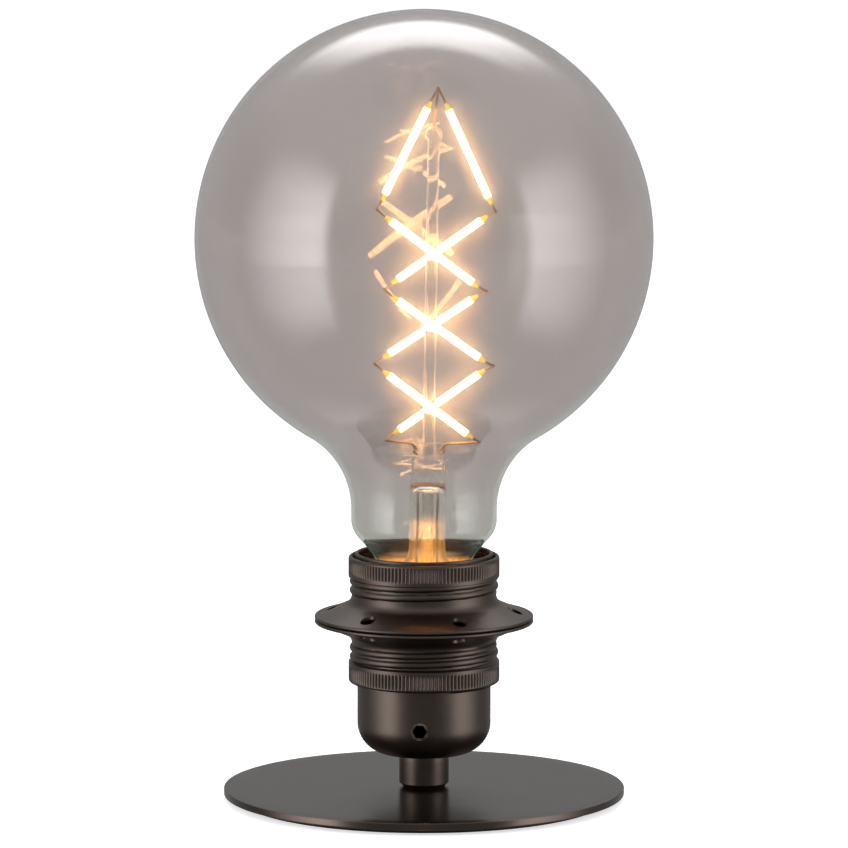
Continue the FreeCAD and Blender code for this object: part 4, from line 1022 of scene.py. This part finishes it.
class LAMP_OT_stage(Operator):
    """Lay the floor, hang the softboxes and set up the camera"""
    bl_idname = "lamp.stage"
    bl_label = "Stage"

    def execute(self, context):
        settings = context.scene.lamp_stage
        mesh = bmesh.new()
        bmesh.ops.create_grid(mesh, x_segments=1, y_segments=1, size=12.0)
        floor = new_piece("floor", mesh)
        floor.visible_glossy = False
        floor.data.materials.append(floor_material(tuple(settings.floor)))
        softbox("left_softbox", settings.left_light, size=(1.15, 1.8), azimuth=-75,
                distance=1.0, height=0.1, sides=(0.85, 0.15))
        softbox("right_softbox", settings.right_light, size=(1.15, 1.8), azimuth=79,
                distance=1.0, height=0.1, sides=(0.15, 0.85))
        softbox("top_softbox", settings.top_light, size=(1.5, 0.8), azimuth=180,
                distance=0.75, height=1.05, sides=(0.4, 0.4))
        world_light()
        aim_camera(settings)
        context.scene.view_settings.view_transform = "Standard"
        return {"FINISHED"}


def floor_material(shade):
    """A pale floor that the camera sees near white, with the lamp's shadow on it."""
    material, tree, shader = blank("pale_floor")
    mottle = grain(tree, 8.0).outputs["Mottle"]
    tree.links.new(ramp(tree, mottle, [(0, scaled(shade, 0.99)), (1, shade)]),
                   shader.inputs["Base Color"])
    shader.inputs["Roughness"].default_value = 1.0
    shader.inputs["Specular IOR Level"].default_value = 0.0
    rays = node(tree, "ShaderNodeLightPath")
    seen = node(tree, "ShaderNodeEmission", {"Strength": 0.62})
    bright = node(tree, "ShaderNodeEmission", {"Strength": 1.0})
    lifted = node(tree, "ShaderNodeAddShader", {0: shader.outputs[0], 1: seen.outputs[0]})
    direct = node(tree, "ShaderNodeMixShader", {
        0: rays.outputs["Is Camera Ray"], 1: shader.outputs[0], 2: lifted.outputs[0]})
    through = node(tree, "ShaderNodeMixShader", {
        0: rays.outputs["Is Transmission Ray"], 1: direct.outputs[0], 2: bright.outputs[0]})
    tree.links.new(through.outputs[0], tree.nodes["Material Output"].inputs["Surface"])
    return material


def softbox(name, power, size, azimuth, distance, height, sides):
    """A soft light that faces the lamp, its azimuth counted from the camera's side.

    sides is the share of its width over which it fades in at each side.
    """
    data = bpy.data.lights.new(name, "AREA")
    data.shape = "RECTANGLE"
    data.size, data.size_y = size
    data.energy = power
    data.use_nodes = True
    tree = data.node_tree
    place = node(tree, "ShaderNodeNewGeometry").outputs["Parametric"]
    shine, ends = 1.7, (0.3, 0.3)
    for axis, fades in (("X", sides), ("Y", ends)):
        across = along(tree, place, axis)
        for start, full in ((0.0, fades[0]), (1.0, 1.0 - fades[1])):
            shine = times(tree, shine, graded(tree, across, start, full, soft=True))
    tree.links.new(shine, tree.nodes["Emission"].inputs["Strength"])
    lamp = bpy.data.objects.new(name, data)
    angle = math.radians(azimuth)
    lamp.location = (math.sin(angle) * distance, -math.cos(angle) * distance, height)
    middle = Vector((0, 0, min(height, 0.1)))
    lamp.rotation_euler = (middle - lamp.location).to_track_quat("-Z", "Y").to_euler()
    bpy.context.scene.collection.objects.link(lamp)


def world_light():
    """A white backdrop, also through glass, in a room that is dim towards its sides."""
    world = bpy.data.worlds.new("studio")
    bpy.context.scene.world = world
    world.use_nodes = True
    tree = world.node_tree
    fill, walls, sides = 0.55, 0.36, 0.3
    direction = node(tree, "ShaderNodeTexCoord").outputs["Generated"]
    sky = graded(tree, along(tree, direction, "Z"), 0.25, 0.75, walls, 1.0, soft=True)
    ahead = graded(tree, along(tree, direction, "Y"), 0.4, 0.8, sides, 1.0, soft=True)
    rays = node(tree, "ShaderNodeLightPath").outputs
    mirrored = picked(tree, rays["Is Glossy Ray"], fill, sky)
    through = picked(tree, rays["Is Transmission Ray"], mirrored, ahead)
    strength = picked(tree, rays["Is Camera Ray"], through, 1.0)
    backdrop = tree.nodes["Background"]
    backdrop.inputs["Color"].default_value = (1, 1, 1, 1)
    tree.links.new(strength, backdrop.inputs["Strength"])


def aim_camera(settings):
    data = bpy.data.cameras.new("camera")
    data.lens = settings.lens
    data.sensor_width = 36.0
    data.clip_end = 50.0
    camera = bpy.data.objects.new("camera", data)
    back, rise = math.cos(settings.pitch), math.sin(settings.pitch)
    target = Vector((0, 0, settings.target))
    camera.location = target + settings.distance * Vector((0, -back, rise))
    camera.rotation_euler = (target - camera.location).to_track_quat("-Z", "Y").to_euler()
    bpy.context.scene.collection.objects.link(camera)
    bpy.context.scene.camera = camera


# ---------------------------------------------------------------- add-on


class LAMP_PT_panel(Panel):
    """The lamp's steps, in the order in which they are made"""
    bl_label = "Bare Bulb Table Lamp"
    bl_idname = "LAMP_PT_panel"
    bl_space_type = "VIEW_3D"
    bl_region_type = "UI"
    bl_category = "Lamp"

    def draw(self, context):
        for operator in OPERATORS:
            self.layout.operator(operator.bl_idname)
        for key, group_class in GROUPS.items():
            box = self.layout.box()
            for name in group_class.__annotations__:
                box.prop(getattr(context.scene, key), name)


GROUPS = {
    "lamp_base": BaseSizes,
    "lamp_holder": HolderSizes,
    "lamp_bulb": BulbSizes,
    "lamp_finishes": Finishes,
    "lamp_stage": StageSettings,
}
OPERATORS = (LAMP_OT_base, LAMP_OT_dome, LAMP_OT_skirt, LAMP_OT_rings, LAMP_OT_glass,
             LAMP_OT_filaments, LAMP_OT_fittings, LAMP_OT_stage)


def register():
    for key, group_class in GROUPS.items():
        bpy.utils.register_class(group_class)
        setattr(bpy.types.Scene, key, PointerProperty(type=group_class))
    for other in (*OPERATORS, LAMP_PT_panel):
        bpy.utils.register_class(other)


def unregister():
    for other in reversed((*OPERATORS, LAMP_PT_panel)):
        bpy.utils.unregister_class(other)
    for key, group_class in reversed(GROUPS.items()):
        delattr(bpy.types.Scene, key)
        bpy.utils.unregister_class(group_class)


def main():
    register()
    for operator in OPERATORS:
        getattr(bpy.ops.lamp, operator.bl_idname.split(".")[1])()


if __name__ == "__main__":
    main()
